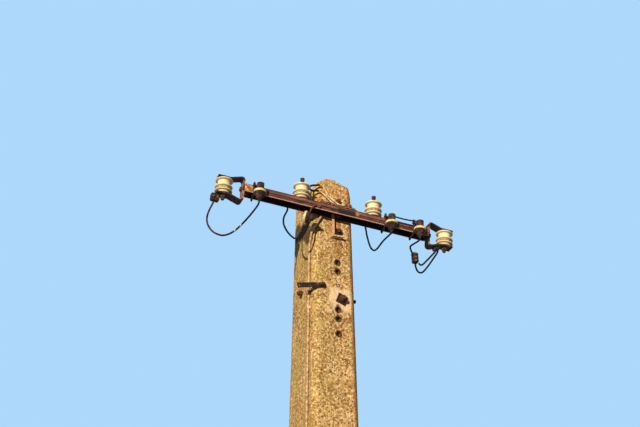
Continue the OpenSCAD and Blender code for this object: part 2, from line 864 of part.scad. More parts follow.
module left_inner_jumper() on_arm() color("#2a2624") tube(route(left_inner_jumper_points, 2), lead_d);
module right_inner_jumper() on_arm() color("#2a2624") tube(route(right_inner_jumper_points, 2), lead_d);
module right_jumper() on_arm() color("#1c1a1a") tube(route(right_jumper_points, 2), lead_d);
module right_short_jumper() on_arm() color("#1c1a1a") tube(route(right_short_points, 2), lead_d);

// Bolted clamp that the right jumper passes through
groove_clamp_at = [398.5, -69, -166];
groove_clamp_size = [38, 26, 56];
module groove_clamp() {
    on_arm() color("#6a4030")
        difference() {
            translate(groove_clamp_at)
                rotate([0, -6, 0]) {
                    cube(groove_clamp_size, center = true);
                    for (z = [-16, 0, 16])
                        translate([7, -groove_clamp_size[1] / 2, z])
                            rotate([90, 0, 0])
                                hex(13, 6);
                }
            tube(route(right_jumper_points, 2), lead_d + 2 * seat);
        }
}

// Stiff bare wire that loops over the pole's shoulder, both ends down on the saddle
top_lead_points = [
    [-14, -40, 4.5], [-24, -36, 12], [-36, -27, 26], [-48, -18, 44], [-61, -14, 58],
    [-77, -12, 70], [-95, -12, 75], [-114, -12, 71], [-129, -13, 67], [-139, -14, 71],
    [-142, -15, 81], [-137, -14, 91], [-125, -13, 98], [-108, -12, 104], [-92, -12, 109],
    [-80, -12, 109], [-70, -12, 101], [-61, -12, 88], [-50, -13, 72], [-38, -15, 55],
    [-24, -21, 40], [-8, -28, 25], [6, -35, 13], [16, -40, 6.5], [24, -42, 4.5]
];
module top_lead() {
    on_arm() translate([0, 0, saddle_top])
        color("#8a7460")
            tube(route(top_lead_points, 2), top_lead_d);
}

// Earth lead: from under the arm round the corner and down the left side, held by clips
earth_stand = earth_d / 2 + 0.5;
earth_z = arm_z - 175;
earth_y = face_y(earth_z) + chamfer + 12;
function beside(z) = -side_x(z) - earth_stand;
earth_bend = [
    arm_point([28 - top_w / 2, -8, -arm_h / 2 - earth_d / 2 - 2 * seat]),
    arm_point([20 - top_w / 2, -9, -44]),
    arm_point([8 - top_w / 2, -2, -72]),
    arm_point([-5 - top_w / 2, 9, -103]),
    [beside(arm_z - 140), face_y(arm_z - 140) + chamfer, arm_z - 140],
    [beside(earth_z), earth_y, earth_z]
];
module earth_lead() {
    color("#b49a78")
        tube(concat(route(earth_bend, 3), [[beside(0), earth_y, seat]]), earth_d, 12);
}

// Pressed clip with an arch over the lead and two feet on the concrete
clip_t = 1.5;
module earth_clips() {
    inner = earth_d / 2 + seat;
    outer = inner + clip_t;
    color("#8a8070")
        for (z = [700 : 1000 : pole_h - 500])
            translate([-side_x(z), earth_y, z])
                rotate([0, lean_w, 0])
                    rotate([0, 0, 180])
                        linear_extrude(20)
                            difference() {
                                union() {
                                    translate([earth_stand, 0])
                                        circle(r = outer, $fn = 24);
                                    translate([seat, -outer])
                                        square([earth_stand - seat, 2 * outer]);
                                    translate([seat, -outer - 12])
                                        square([clip_t, 2 * outer + 24]);
                                }
                                translate([earth_stand, 0])
                                    circle(r = inner, $fn = 24);
                                translate([0, -inner])
                                    square([earth_stand, 2 * inner]);
                                translate([seat - outer, -outer])
                                    square([outer, 2 * outer]);
                            }
}

pole_shaft();
crossarm();
crossarm_bolt();
rear_plate();
saddle_plate();
saddle_bolts();
left_stirrup();
right_stirrup();
stirrup_bolts();
left_end_insulator();
left_inner_insulator();
right_inner_insulator();
right_end_insulator();
left_end_spindle();
left_inner_spindle();
right_inner_spindle();
right_end_spindle();
tie_wires();
arrester_1_body();
arrester_2_body();
arrester_3_body();
arrester_4_body();
arrester_1_cup();
arrester_2_cup();
arrester_3_cup();
arrester_4_cup();
arrester_1_bracket();
arrester_2_bracket();
arrester_3_bracket();
arrester_4_hook();
bond_wire();
face_bolt();
hanger_rod();
shoe();
shoe_bolt();
tie_bolt();
tie_plates();
service_bracket();
side_bolt();
left_line_clamp();
right_line_clamp();
groove_clamp();
left_jumper();
left_inner_jumper();
right_inner_jumper();
right_jumper();
right_short_jumper();
top_lead();
earth_lead();
earth_clips();
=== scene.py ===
"""A weathered reinforced-concrete distribution pole with its crossarm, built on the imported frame.

Metres, +Z up, the pole's foot at the origin. The crossarm is on the -Y face, along X.
"""
import math

import bmesh
import bpy
from mathutils import Matrix, Vector, noise


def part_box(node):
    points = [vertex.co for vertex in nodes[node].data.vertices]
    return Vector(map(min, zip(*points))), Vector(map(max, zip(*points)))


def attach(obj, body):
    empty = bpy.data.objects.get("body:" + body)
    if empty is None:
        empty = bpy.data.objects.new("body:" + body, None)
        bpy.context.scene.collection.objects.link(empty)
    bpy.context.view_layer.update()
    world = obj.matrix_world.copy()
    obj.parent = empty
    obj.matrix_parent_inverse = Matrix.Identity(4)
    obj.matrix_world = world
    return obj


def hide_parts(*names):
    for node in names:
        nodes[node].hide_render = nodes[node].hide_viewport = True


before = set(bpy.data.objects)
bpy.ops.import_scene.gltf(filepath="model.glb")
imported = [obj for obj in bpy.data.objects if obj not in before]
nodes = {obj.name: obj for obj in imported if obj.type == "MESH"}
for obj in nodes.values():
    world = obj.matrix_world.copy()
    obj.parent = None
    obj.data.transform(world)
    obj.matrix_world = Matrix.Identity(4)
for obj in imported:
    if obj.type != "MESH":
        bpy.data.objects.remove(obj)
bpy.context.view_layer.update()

MM = 0.001

# Sizes that follow the part's own values, in millimetres
POLE_H = 7395.0
TOP_W = 200.0
TOP_D = 282.0
GAIN_W = 24.0
GAIN_D = 55.0
LEAN = math.atan(GAIN_D / 2000)
CHAMFER = 28.0
GABLE_RISE = 38.0
RIDGE_W = 42.0
RIDGE_X = -14.0
SHOULDER_W = 16.0
SHOULDER_SLOPE = math.tan(math.radians(65))
SHOULDER_FROM = 0.8

# Holes, each at its drop below the ridge
HOLE_D = 20.0
HOLE_X = 15.0
FRONT_HOLE_DROPS = (452.0, 499.0, 697.0, 745.0, 819.0)
TIE_DROP = 643.0
TIE_X = 32.0
ARM_BOLT_X = 14.0
ARM_BOLT_HOLE_D = 20.0

# Holes as place, drop and width: for the tie and face bolts, and from side to side
BOLT_HOLES = ((TIE_X, TIE_DROP, 22.0), (23.0, 118.0, 14.0))
SIDE_HOLES = ((6.0, 138.0, 16.0), (0.0, 570.0, 20.0))

# The crossarm and what it carries, in the arm's own frame
ARM_DROP = 202.0
ARM_X = 5.0
ARM_TILT = math.radians(4.2)
ARM_H = 40.0
ARM_W = 60.0
MID_Y = -ARM_W / 2
SADDLE_TOP = 34.3
SHOE_DROP = 122.3
SHOE_LIP = 8.5
SEAT = 0.3
STRAP_T = 8.0
STRAP_PAST = 36.0
SPOOL_D = 85.0
SPOOL_H = 80.0
SPOOL_BORE_D = 18.0
SPOOL_BASE = 26.9
INNER_X = 187.0
OUTER_X = 571.0
LEFT_RISE = -8.0
RIGHT_RISE = 0.0
ARRESTER_D = 60.0
ARRESTER_H = 18.0
ARRESTER_X = (-411.0, 261.0, 411.0)
ARRESTER_LIFT = (-6.0, 2.0, 6.0)
ARRESTER_Y = -93.0
ARRESTER_SEAT = 7.0
SIDE_ARRESTER = (-156.0, MID_Y - 17, -ARM_H / 2 - 53)
SIDE_TURN = math.radians(152)
SIDE_TIP = math.radians(78)
GROOVE_CLAMP = (398.5, -69, -166)
GROOVE_CLAMP_TURN = math.radians(-6)
LEAD_D = 9.0
TOP_LEAD_D = 8.0

# The worn arris and the hole's broken mouth
ROUNDED = 4.0
MOUTH_D = 30.0
MOUTH_DEEP = 16.0

# The spool's neck, thin rims and wire groove
NECK_R = SPOOL_D / 2 - 12.5
RIM_T = 3.0
GROOVE_Z = 21.6
BINDING_D = 4.2
BINDING_OFFSET = 2.2
BINDING_TWISTS = 7

# Clamps as length, width and depth, with the bolts that close them
LEFT_CLAMP_SIZE = (42, 41, 22)
GROOVE_CLAMP_SIZE = (54, 31, 24)
BOLT_ACROSS = 13.0
BOLT_HIGH = 6.0
BOLT_D = 6.0
BOLT_TAIL = 5.0
BOLT_PITCH = 1.2
FORWARD = Matrix.Rotation(math.pi / 2, 4, "X")

# The top lead's sleeve, between two points of its line, and the bond wire's cover
SLEEVE_SHARE = 1.2
SLEEVE_FROM = 36
SLEEVE_TO = 85
BOND_D = 7.2
BOND_SAG = 3.0

# Directions that light comes from, in degrees: round from the front to the left, and up
KEY_AZIMUTH = 43
KEY_RISE = 12
BACK_AZIMUTH = 205
BACK_RISE = 35

# Painted shadow below the side arrester, on the left face: a place in metres, and a soft edge in
# millimetres
ARRESTER_SHADOW_SPOTS = (
    ((-0.104, -0.075, 7.1), 12),
    ((-0.105, -0.045, 7.133), 8),
    ((-0.105, 0.017, 7.158), 8),
    ((-0.105, 0.08, 7.185), 8),
)

# Stains below the hanger, the shoe and the bolts as x, top, length, width and tone
RUST_RUNS = (
    (-23, 7172, 130, 12, "#A8602E"),
    (18, 7066, 130, 28, "#74401F"),
    (17, 7172, 120, 24, "#B0601E"),
    (14, 6725, 120, 16, "#7E4A2C"),
)

# Painted light and shade on the flange's front, as from, to, tone and strength: a lit upper half, a
# shaded lower half, a painted shadow seam, a painted highlight on the toe and a shaded upper edge
FLANGE_LIGHT_AND_SHADE = (
    (2, 17, "#A4685A", 0.35),
    (-16, 0, "#472A28", 0.65),
    (-2, 3, "#0B0607", 0.95),
    (-21, -16.5, "#DCB094", 0.85),
    (16.5, 22, "#0F0809", 0.92),
)


def half_size(z):
    """Half the pole's width and half its depth at a height, in millimetres."""
    drop = POLE_H - z
    return (TOP_W + drop * GAIN_W / 1000) / 2, (TOP_D + drop * GAIN_D / 1000) / 2


def arm_frame():
    """The arm's own frame: x along it, y = 0 on the pole's face, z = 0 on its centre line."""
    arm_z = POLE_H - ARM_DROP
    place = Matrix.Translation((ARM_X * MM, -half_size(arm_z)[1] * MM, arm_z * MM))
    return place @ Matrix.Rotation(-LEAN, 4, "X") @ Matrix.Rotation(ARM_TILT, 4, "Y")


ARM = arm_frame()


def on_arm(x, y, z):
    """A place in the arm's frame, from millimetres."""
    return ARM @ Matrix.Translation(Vector((x, y, z)) * MM)


def spline(p0, p1, p2, p3, t):
    """A place between the middle two of four points, on a curve through them."""
    return 0.5 * (
        2 * p1
        + (p2 - p0) * t
        + (2 * p0 - 5 * p1 + 4 * p2 - p3) * t * t
        + (3 * p1 - p0 - 3 * p2 + p3) * t ** 3
    )


def route(points, per, lift=0.0):
    """A smooth line through points of the arm's frame, in metres of the pole's frame."""
    p = [ARM @ ((Vector(q) + Vector((0, 0, lift))) * MM) for q in points]
    last = len(p) - 1
    line = [
        spline(p[max(i - 1, 0)], p[i], p[i + 1], p[min(i + 2, last)], k / per)
        for i in range(last)
        for k in range(per)
    ]
    return line + [p[last]]


def line_frames(line):
    """A pair of directions across a line at each of its points, carried along without twist."""
    last = len(line) - 1
    along = [(line[min(i + 1, last)] - line[max(i - 1, 0)]).normalized() for i in range(last + 1)]
    across = along[0].orthogonal().normalized()
    pairs = []
    for t in along:
        across = (across - across.dot(t) * t).normalized()
        pairs.append((across.copy(), t.cross(across)))
    return pairs


def finish_mesh(name, verts, faces, smooth=True):
    """A mesh object in the pole's frame, with its faces turned outwards."""
    mesh = bpy.data.meshes.new(name)
    mesh.from_pydata(verts, [], faces)
    shape = bmesh.new()
    shape.from_mesh(mesh)
    bmesh.ops.recalc_face_normals(shape, faces=shape.faces)
    shape.to_mesh(mesh)
    shape.free()
    if smooth:
        mesh.polygons.foreach_set("use_smooth", [True] * len(mesh.polygons))
    piece = bpy.data.objects.new(name, mesh)
    bpy.context.collection.objects.link(piece)
    return piece


def ring_walls(rings, sides):
    """Faces between neighbouring rings of points."""
    walls = []
    for i in range(rings - 1):
        low = i * sides
        high = low + sides
        for k in range(sides):
            n = (k + 1) % sides
            walls.append((low + k, low + n, high + n, high + k))
    return walls


def tube_faces(rings, sides):
    """Faces of a closed tube: its walls, then both ends."""
    last = (rings - 1) * sides
    return ring_walls(rings, sides) + [tuple(range(sides)), tuple(range(last, last + sides))]


def sweep(name, line, radius, sides=16, lobes=0, lay_mm=90.0, groove=0.12):
    """A closed tube along a line. Its lobes, if any, are the outer strands, laid in a helix."""
    verts = []
    run = 0.0
    for i, (u, v) in enumerate(line_frames(line)):
        if i:
            run += (line[i] - line[i - 1]).length
        turn = run / (lay_mm * MM) * math.tau
        for k in range(sides):
            a = k / sides * math.tau
            r = radius
            if lobes:
                r *= 1 - groove * (1 - abs(math.sin((a * lobes + turn * lobes) / 2)))
            verts.append(line[i] + (u * math.cos(a) + v * math.sin(a)) * r)
    return finish_mesh(name, verts, tube_faces(len(line), sides))


def lathe(name, profile, place, turns=72, dirt_and_shade=None):
    """A closed profile of (radius, height) in millimetres, revolved about the place's own z axis.

    The dirt_and_shade, if any, is a function of radius and height that gives the share of dirt and
    painted shade there.
    """
    verts = []
    for k in range(turns):
        a = k / turns * math.tau
        verts += [place @ (Vector((r * math.cos(a), r * math.sin(a), z)) * MM) for r, z in profile]
    n = len(profile)
    faces = []
    for k in range(turns):
        here = k * n
        there = (k + 1) % turns * n
        faces += [(here + i, there + i, there + (i + 1) % n, here + (i + 1) % n) for i in range(n)]
    piece = finish_mesh(name, verts, faces, turns > 6)
    if dirt_and_shade:
        dirt_and_shade_share = piece.data.attributes.new("dirt_and_shade", "FLOAT", "POINT")
        dirt_and_shade_share.data.foreach_set("value", [dirt_and_shade(r, z) for r, z in profile] * turns)
    return piece


def arc(r, z, radius, start, end, steps):
    """Points of a profile's round stretch, from one angle to another in degrees."""
    angles = [math.radians(start + (end - start) * i / steps) for i in range(steps + 1)]
    return [(r + radius * math.cos(a), z + radius * math.sin(a)) for a in angles]


def colour(text, alpha=1.0):
    """An sRGB hex value as the linear colour that the shaders take."""
    parts = [int(text[i:i + 2], 16) / 255 for i in (1, 3, 5)]
    linear = [c / 12.92 if c <= 0.04045 else ((c + 0.055) / 1.055) ** 2.4 for c in parts]
    return (*linear, alpha)


def add(tree, kind, inputs=(), **settings):
    """Adds a shader node with its settings, and its inputs by name or in the node's own order.

    An input takes a node, a socket, a hex colour or a value. In order, a MapRange takes a value,
    where that gives 0 and where it gives 1.
    """
    made = tree.nodes.new("ShaderNode" + kind)
    for name, value in settings.items():
        setattr(made, name, value)
    for key, value in inputs.items() if isinstance(inputs, dict) else enumerate(inputs):
        found = made.inputs[key] if isinstance(key, int) else next(
            s for s in made.inputs if s.enabled and s.name == key
        )
        if isinstance(value, bpy.types.Node):
            value = next(s for s in value.outputs if s.enabled)
        if isinstance(value, bpy.types.NodeSocket):
            tree.links.new(value, found)
        else:
            found.default_value = colour(value) if isinstance(value, str) else value
    return made


def empty_tree(owner):
    """The shader tree of a material or a world, with nothing in it."""
    owner.use_nodes = True
    owner.node_tree.nodes.clear()
    return owner.node_tree


def new_material(name):
    """An empty material, with its tree and the place in metres that every pattern starts from."""
    material = bpy.data.materials.new(name)
    tree = empty_tree(material)
    return material, tree, add(tree, "TexCoord").outputs["Object"]


def per_metre(size_mm):
    """A pattern's scale, from the size of one of its features."""
    return 1000 / size_mm


def finished(material, where, skin, grain, depth_mm, roughness, raised=None, **shading):
    """Ends a material: its colour, its relief and what the shader's own sockets say.

    The relief is fine grain, of a size in millimetres and a detail, with what is raised on it.
    """
    tree = material.node_tree
    size_mm, detail = grain
    fine = {"Vector": where, "Scale": per_metre(size_mm), "Detail": detail}
    height = add(tree, "TexNoise", fine)
    if raised is not None:
        height = add(tree, "Math", (height, raised))
    inputs = {key.replace("_", " "): value for key, value in shading.items()}
    inputs["Base Color"] = skin
    inputs["Roughness"] = roughness
    relief = {"Height": height, "Distance": depth_mm * MM, "Strength": 1.0}
    inputs["Normal"] = add(tree, "Bump", relief)
    add(tree, "OutputMaterial", {"Surface": add(tree, "BsdfPrincipled", inputs)})
    return material


def patches(tree, where, size_mm, low, high, detail=3.0, stretch=None):
    """Soft-edged patches of a given size: 0 outside them and 1 inside."""
    if stretch:
        where = add(tree, "Mapping", {"Vector": where, "Scale": stretch})
    spots = add(tree, "TexNoise", {"Vector": where, "Scale": per_metre(size_mm), "Detail": detail})
    return add(tree, "MapRange", (spots, low, high))


def coat(tree, under, over, share, strength=1.0):
    """One colour over another where a share from 0 to 1 says, no denser than a strength."""
    thin = add(tree, "Math", (share, strength), operation="MULTIPLY", use_clamp=True)
    return add(tree, "Mix", {"Factor": thin, "A": under, "B": over}, data_type="RGBA")


def all_of(tree, share, *others):
    """A share that is 1 only where each of several shares is 1."""
    for other in others:
        share = add(tree, "Math", (share, other), operation="MULTIPLY")
    return share


def moved_by(tree, where, metres):
    """The same pattern space at another place, so that two patterns don't fall together."""
    return add(tree, "VectorMath", (where, (metres, metres, metres)))


def near(tree, where, centre, radius_mm, soft_mm):
    """1 within a radius of a point, fading to 0."""
    gap = add(tree, "VectorMath", (where, centre), operation="DISTANCE").outputs["Value"]
    limits = (gap, (radius_mm + soft_mm) * MM, (radius_mm - soft_mm) * MM)
    return add(tree, "MapRange", limits, interpolation_type="SMOOTHSTEP")


def along_arm(tree, where, axis):
    """One coordinate of the arm's own frame, in metres."""
    direction = ARM.to_3x3().col[axis]
    reach = add(tree, "VectorMath", (where, direction), operation="DOT_PRODUCT").outputs["Value"]
    return add(tree, "Math", (reach, ARM.translation.dot(direction)), operation="SUBTRACT")


def stripe(tree, value, low_mm, high_mm, soft_mm):
    """1 between two limits of a coordinate, fading to 0 outside them."""
    rise = (value, (low_mm - soft_mm) * MM, (low_mm + soft_mm) * MM)
    fall = (value, (high_mm + soft_mm) * MM, (high_mm - soft_mm) * MM)
    above = add(tree, "MapRange", rise, interpolation_type="SMOOTHSTEP")
    below = add(tree, "MapRange", fall, interpolation_type="SMOOTHSTEP")
    return all_of(tree, above, below)


def washed_down(tree, where, x_mm, top_mm, long_mm, wide_mm):
    """A stain on the pole's front from a point downwards: widest and densest at the top."""
    axes = add(tree, "SeparateXYZ", {"Vector": where}).outputs
    offset = add(tree, "Math", (axes["X"], x_mm * MM), operation="SUBTRACT")
    beside = add(tree, "Math", (offset,), operation="ABSOLUTE")
    edge = (beside, wide_mm * MM, 0.25 * wide_mm * MM)
    inside = add(tree, "MapRange", edge, interpolation_type="SMOOTHSTEP")
    start = (axes["Z"], (top_mm + 4) * MM, (top_mm - 4) * MM)
    below = add(tree, "MapRange", start, interpolation_type="SMOOTHSTEP")
    tail = (axes["Z"], (top_mm - long_mm) * MM, (top_mm - 0.2 * long_mm) * MM)
    fading = add(tree, "MapRange", tail)
    front = add(tree, "MapRange", (axes["Y"], 0.0, -0.05))
    return all_of(tree, inside, below, fading, front)


def worn_paste(tree, where):
    """Paste and aggregate worn to one level: its colour, and which stones stand out or are gone."""
    # Broad pale and dull areas, then grit of about 11 mm
    paste = coat(tree, "#BE9660", "#DDB880", patches(tree, where, 70, 0.36, 0.62))
    paste = coat(tree, paste, "#7C5630", patches(tree, where, 11, 0.44, 0.6, 4.0), 0.88)
    pale_grit = patches(tree, moved_by(tree, where, 5.0), 12, 0.54, 0.63, 3.0)
    paste = coat(tree, paste, "#FBE4B4", pale_grit, 0.85)
    # Aggregate of about 9 mm, some stones pale and some gone, which leaves dark pits
    grain = add(tree, "TexVoronoi", {"Vector": where, "Scale": per_metre(9)}).outputs
    pick = add(tree, "SeparateColor", {"Color": grain["Color"]}).outputs["Red"]
    middle = (grain["Distance"], 0.5, 0.3)
    inside = add(tree, "MapRange", middle, interpolation_type="SMOOTHSTEP")
    stones = all_of(tree, inside, add(tree, "MapRange", (pick, 0.64, 0.7)))
    pits = all_of(tree, inside, add(tree, "MapRange", (pick, 0.2, 0.14)))
    paste = coat(tree, paste, "#FBE6BC", stones, 0.8)
    paste = coat(tree, paste, "#57401F", pits, 0.7)
    return paste, add(tree, "Math", (stones, pits), operation="SUBTRACT")


def with_film(tree, paste, where, x):
    """Green film over the left face, thinner on the front's left edge, and a painted shadow on that
    face below the side arrester.
    """
    left = add(tree, "MapRange", (x, 0.02, -0.1))
    film = all_of(tree, patches(tree, where, 110, 0.3, 0.6), left)
    paste = coat(tree, paste, "#A09040", film, 0.4)
    # A painted shadow, near black, of the side arrester and the arm on the left face
    painted_shadow, *blots = [near(tree, where, Vector(place), 46, soft_mm) for place, soft_mm in ARRESTER_SHADOW_SPOTS]
    for blot in blots:
        painted_shadow = add(tree, "Math", (painted_shadow, blot), operation="MAXIMUM")
    return coat(tree, paste, "#1E1A10", all_of(tree, painted_shadow, left), 0.82)


def with_lichen(tree, paste, where, x, y, z):
    """Orange lichen on the head and down the front's right arris, which it colours most, and painted
    light on that arris, which faces away from the key lamp.
    """
    drop = add(tree, "Math", (POLE_H * MM, z), operation="SUBTRACT")
    side = (drop, GAIN_W / 2000, TOP_W / 2 * MM)
    face = (drop, -GAIN_D / 2000, -TOP_D / 2 * MM)
    side_x = add(tree, "Math", side, operation="MULTIPLY_ADD")
    front_y = add(tree, "Math", face, operation="MULTIPLY_ADD")
    inset = add(tree, "Math", (side_x, x), operation="SUBTRACT")
    behind = add(tree, "Math", (y, front_y), operation="SUBTRACT")
    near_front = add(tree, "MapRange", (behind, 0.06, 0.03))
    right = all_of(tree, add(tree, "MapRange", (inset, 0.05, 0.0)), near_front)
    head = add(tree, "MapRange", {"Value": z, "From Min": 7.24, "From Max": 7.37, "To Max": 0.55})
    reach = add(tree, "Math", (right, head), operation="MAXIMUM")
    lichen = all_of(tree, patches(tree, where, 30, 0.48, 0.58, 5.0), reach)
    paste = coat(tree, paste, "#DC9038", lichen, 0.75)
    # Painted light: the right arris, turned from the key lamp, is made pale orange
    arris = all_of(tree, add(tree, "MapRange", (inset, 0.03, 0.01)), near_front)
    return coat(tree, paste, "#F0A850", arris, 0.6)


def with_mortar(tree, paste, where):
    """Pale mortar round the tie bolt, with a torn edge."""
    tie_z = POLE_H - TIE_DROP
    tear = 0.1
    torn = add(tree, "TexNoise", {"Vector": where, "Scale": per_metre(40), "Detail": 4.0})
    by = Vector((tear, tear, tear))
    shift = add(tree, "VectorMath", (torn.outputs["Color"], by), operation="MULTIPLY")
    moved = add(tree, "VectorMath", (where, shift))
    # The noise is 0.5 on average, so the patch is looked for half a tear further on
    middle = Vector((TIE_X, -half_size(tie_z)[1], tie_z)) * MM + by / 2
    return coat(tree, paste, "#F4DCB8", near(tree, moved, middle, 64, 8), 0.85)


def with_rust(tree, paste, where):
    """Rust washed down from the bolts, the shoe and the tie plate, and a dark brown ring in each
    hole's mouth.
    """
    streaks = patches(tree, where, 14, 0.25, 0.6, 3.0, stretch=(1, 1, 0.12))
    for x_mm, top_mm, long_mm, wide_mm, tone in RUST_RUNS:
        stain = washed_down(tree, where, x_mm, top_mm, long_mm, wide_mm)
        paste = coat(tree, paste, tone, all_of(tree, stain, streaks), 0.95)
    # A dark brown ring in each hole's mouth
    for drop in FRONT_HOLE_DROPS:
        low = POLE_H - drop
        mouth = Vector((HOLE_X, -half_size(low)[1], low)) * MM
        paste = coat(tree, paste, "#3A2212", near(tree, where, mouth, 18, 3), 0.9)
    return paste


def weathered_concrete():
    """Cast concrete after decades outdoors: the skin is gone, pale aggregate and dark pits show."""
    material, tree, where = new_material("weathered_concrete")
    axes = add(tree, "SeparateXYZ", {"Vector": where})
    x, y, z = (axes.outputs[k] for k in "XYZ")
    paste, stones = worn_paste(tree, where)
    paste = with_film(tree, paste, where, x)
    paste = with_lichen(tree, paste, where, x, y, z)
    paste = with_mortar(tree, paste, where)
    paste = with_rust(tree, paste, where)
    return finished(material, where, paste, (4, 4.0), 2.0, 0.93, stones, Specular_IOR_Level=0.2)


def rusty_steel(name, scale, deep, bright, bright_share, size_mm, depth_mm=0.6):
    """Steel left bare outdoors: dark mill scale, brown rust over it, and fresh rust in patches."""
    material, tree, where = new_material(name)
    skin = coat(tree, scale, deep, patches(tree, where, size_mm, 0.36, 0.56, 5.0))
    low = 0.66 - 0.2 * bright_share
    bloom = patches(tree, where, size_mm * 0.6, low, low + 0.1 + 0.04 * bright_share, 5.0)
    skin = coat(tree, skin, bright, bloom)
    skin = coat(tree, skin, scale, patches(tree, where, 4, 0.52, 0.68, 3.0), 0.6)
    return finished(
        material, where, skin, (5, 5.0), depth_mm, 0.8, bloom, Specular_IOR_Level=0.35
    )


def worn_shoe():
    """The shelf under the hanger: worn bare and pale along its lip, and black above it, which is
    partly painted shade.
    """
    material, tree, where = new_material("worn_steel_shelf")
    axes = add(tree, "SeparateXYZ", {"Vector": where})
    lip_z = (POLE_H - ARM_DROP - SHOE_DROP + SHOE_LIP) * MM
    below = add(tree, "MapRange", (axes.outputs["Z"], lip_z + MM, lip_z - MM))
    # The near black above the lip is partly painted shade
    skin = coat(tree, "#14100E", "#3C261C", patches(tree, where, 14, 0.4, 0.6, 4.0))
    lip = coat(tree, "#E6C49A", "#A87850", patches(tree, where, 9, 0.42, 0.62, 4.0))
    skin = coat(tree, skin, lip, below)
    return finished(material, where, skin, (5, 5.0), 0.6, 0.75, Specular_IOR_Level=0.3)


def rusty_strap():
    """Forged strap: black scale on its arms, and painted light in patches on the upright plate between
    them.
    """
    material, tree, where = new_material("rusty_strap")
    skin = coat(tree, "#141012", "#34221F", patches(tree, where, 34, 0.4, 0.6, 4.0))
    rust = patches(tree, where, 20, 0.6, 0.68, 5.0)
    skin = coat(tree, skin, "#8A5A48", rust, 0.8)
    reach = add(tree, "Math", (along_arm(tree, where, 0),), operation="ABSOLUTE")
    beside = stripe(tree, reach, 470, 500, 4)
    upright = stripe(tree, along_arm(tree, where, 2), -58, 40, 6)
    # Painted light in patches on the upright plate
    painted_plate_light = all_of(tree, beside, upright, patches(tree, where, 22, 0.44, 0.56, 4.0))
    skin = coat(tree, skin, "#C0907A", painted_plate_light, 0.85)
    return finished(material, where, skin, (5, 5.0), 0.6, 0.75, rust, Specular_IOR_Level=0.35)


def rusty_channel():
    """Hot-rolled channel: red-brown rust in long flakes, painted light and shade in bands on its
    front, and painted shade inside.
    """
    material, tree, where = new_material("rusty_rolled_channel")
    x, y, z = (along_arm(tree, where, axis) for axis in range(3))
    local = add(tree, "CombineXYZ", (x, y, z))
    flakes = patches(tree, local, 22, 0.4, 0.58, 5.0, stretch=(0.25, 1, 1))
    skin = coat(tree, "#2C1816", "#8E5A4E", flakes)
    bloom = patches(tree, local, 16, 0.54, 0.64, 5.0, stretch=(0.3, 1, 1))
    skin = coat(tree, skin, "#BC7E66", bloom, 0.8)
    specks = patches(tree, local, 9, 0.55, 0.66, 4.0, stretch=(0.3, 1, 1))
    skin = coat(tree, skin, "#21130F", specks, 0.8)
    front = stripe(tree, y, -ARM_W - 2, -ARM_W + 3, 1)
    # Bands of painted light and shade across the flange's front
    for low_mm, high_mm, tone, strength in FLANGE_LIGHT_AND_SHADE:
        band = all_of(tree, stripe(tree, z, low_mm, high_mm, 0.8), front)
        skin = coat(tree, skin, tone, band, strength)
    # Painted shade, near black, in the channel's hollow
    shaded_hollow = stripe(tree, y, -ARM_W + 4.5, -5, 1)
    inside = all_of(tree, shaded_hollow, add(tree, "MapRange", (z, 0.018, 0.013)))
    skin = coat(tree, skin, "#0D0A0A", inside, 0.92)
    # A near-black patch on the flange in front of the pole
    scale = all_of(tree, stripe(tree, x, -4, 84, 5), stripe(tree, z, -16, 15, 3), front)
    skin = coat(tree, skin, "#120D10", scale, 0.85)
    # Fresh orange rust at the left end, and in one patch beside the pole
    left_end = add(tree, "MapRange", (x, -0.434, -0.444))
    tan = coat(tree, "#9A6238", "#EEC6A0", patches(tree, local, 14, 0.42, 0.56, 4.0))
    skin = coat(tree, skin, tan, all_of(tree, left_end, stripe(tree, z, -14, 17, 2)), 0.92)
    patch = near(tree, local, Vector((0.095, -ARM_W * MM, 0.003)), 9, 4)
    skin = coat(tree, skin, "#D08A50", patch, 0.8)
    return finished(material, where, skin, (5, 5.0), 0.8, 0.75, bloom, Specular_IOR_Level=0.35)


def glazed_porcelain(name, body, shade, dirt, dirt_share):
    """Porcelain under a cream glaze: a sharp gloss, faint mottle, and dust with painted shade in the
    grooves and at the rims' roots.
    """
    material, tree, where = new_material(name)
    skin = coat(tree, body, shade, patches(tree, where, 45, 0.4, 0.7))
    spots = patches(tree, where, 22, 0.52, 0.72, 5.0)
    dirt_and_shade_share = add(tree, "Attribute", attribute_name="dirt_and_shade").outputs["Fac"]
    skin = coat(tree, skin, dirt, spots, dirt_share)
    # Dust and painted shade in the groove, and painted shadow lines at the rims' roots
    skin = coat(tree, skin, "#5A3A20", dirt_and_shade_share, 0.9)
    dust = add(tree, "Math", (spots, dirt_and_shade_share), operation="ADD", use_clamp=True)
    gloss = add(tree, "MapRange", {"Value": dust, "To Min": 0.3, "To Max": 0.65})
    return finished(material, where, skin, (18, 2.0), 0.25, gloss, IOR=1.54)


def weathered_polyethylene():
    """Black polyethylene dulled by sun, browned at the left end, with two turns of pale tape."""
    material, tree, where = new_material("weathered_polyethylene")
    axes = add(tree, "SeparateXYZ", {"Vector": where})
    skin = coat(tree, "#0A090B", "#221A14", patches(tree, where, 26, 0.52, 0.74))
    left_end = add(tree, "MapRange", (axes.outputs["X"], -0.55, -0.6))
    brown = all_of(tree, left_end, patches(tree, where, 30, 0.34, 0.6, 4.0))
    skin = coat(tree, skin, "#5C4036", brown, 0.8)
    tape_half_mm = 3
    for tape_x in (-508, -484):
        past = add(tree, "Math", (along_arm(tree, where, 0), -tape_x * MM))
        past = add(tree, "Math", (past,), operation="ABSOLUTE")
        wrap = add(tree, "Math", (past, tape_half_mm * MM), operation="LESS_THAN")
        skin = coat(tree, skin, "#D8C0A0", wrap, 0.85)
    return finished(material, where, skin, (4, 4.0), 0.2, 0.7, Specular_IOR_Level=0.12)


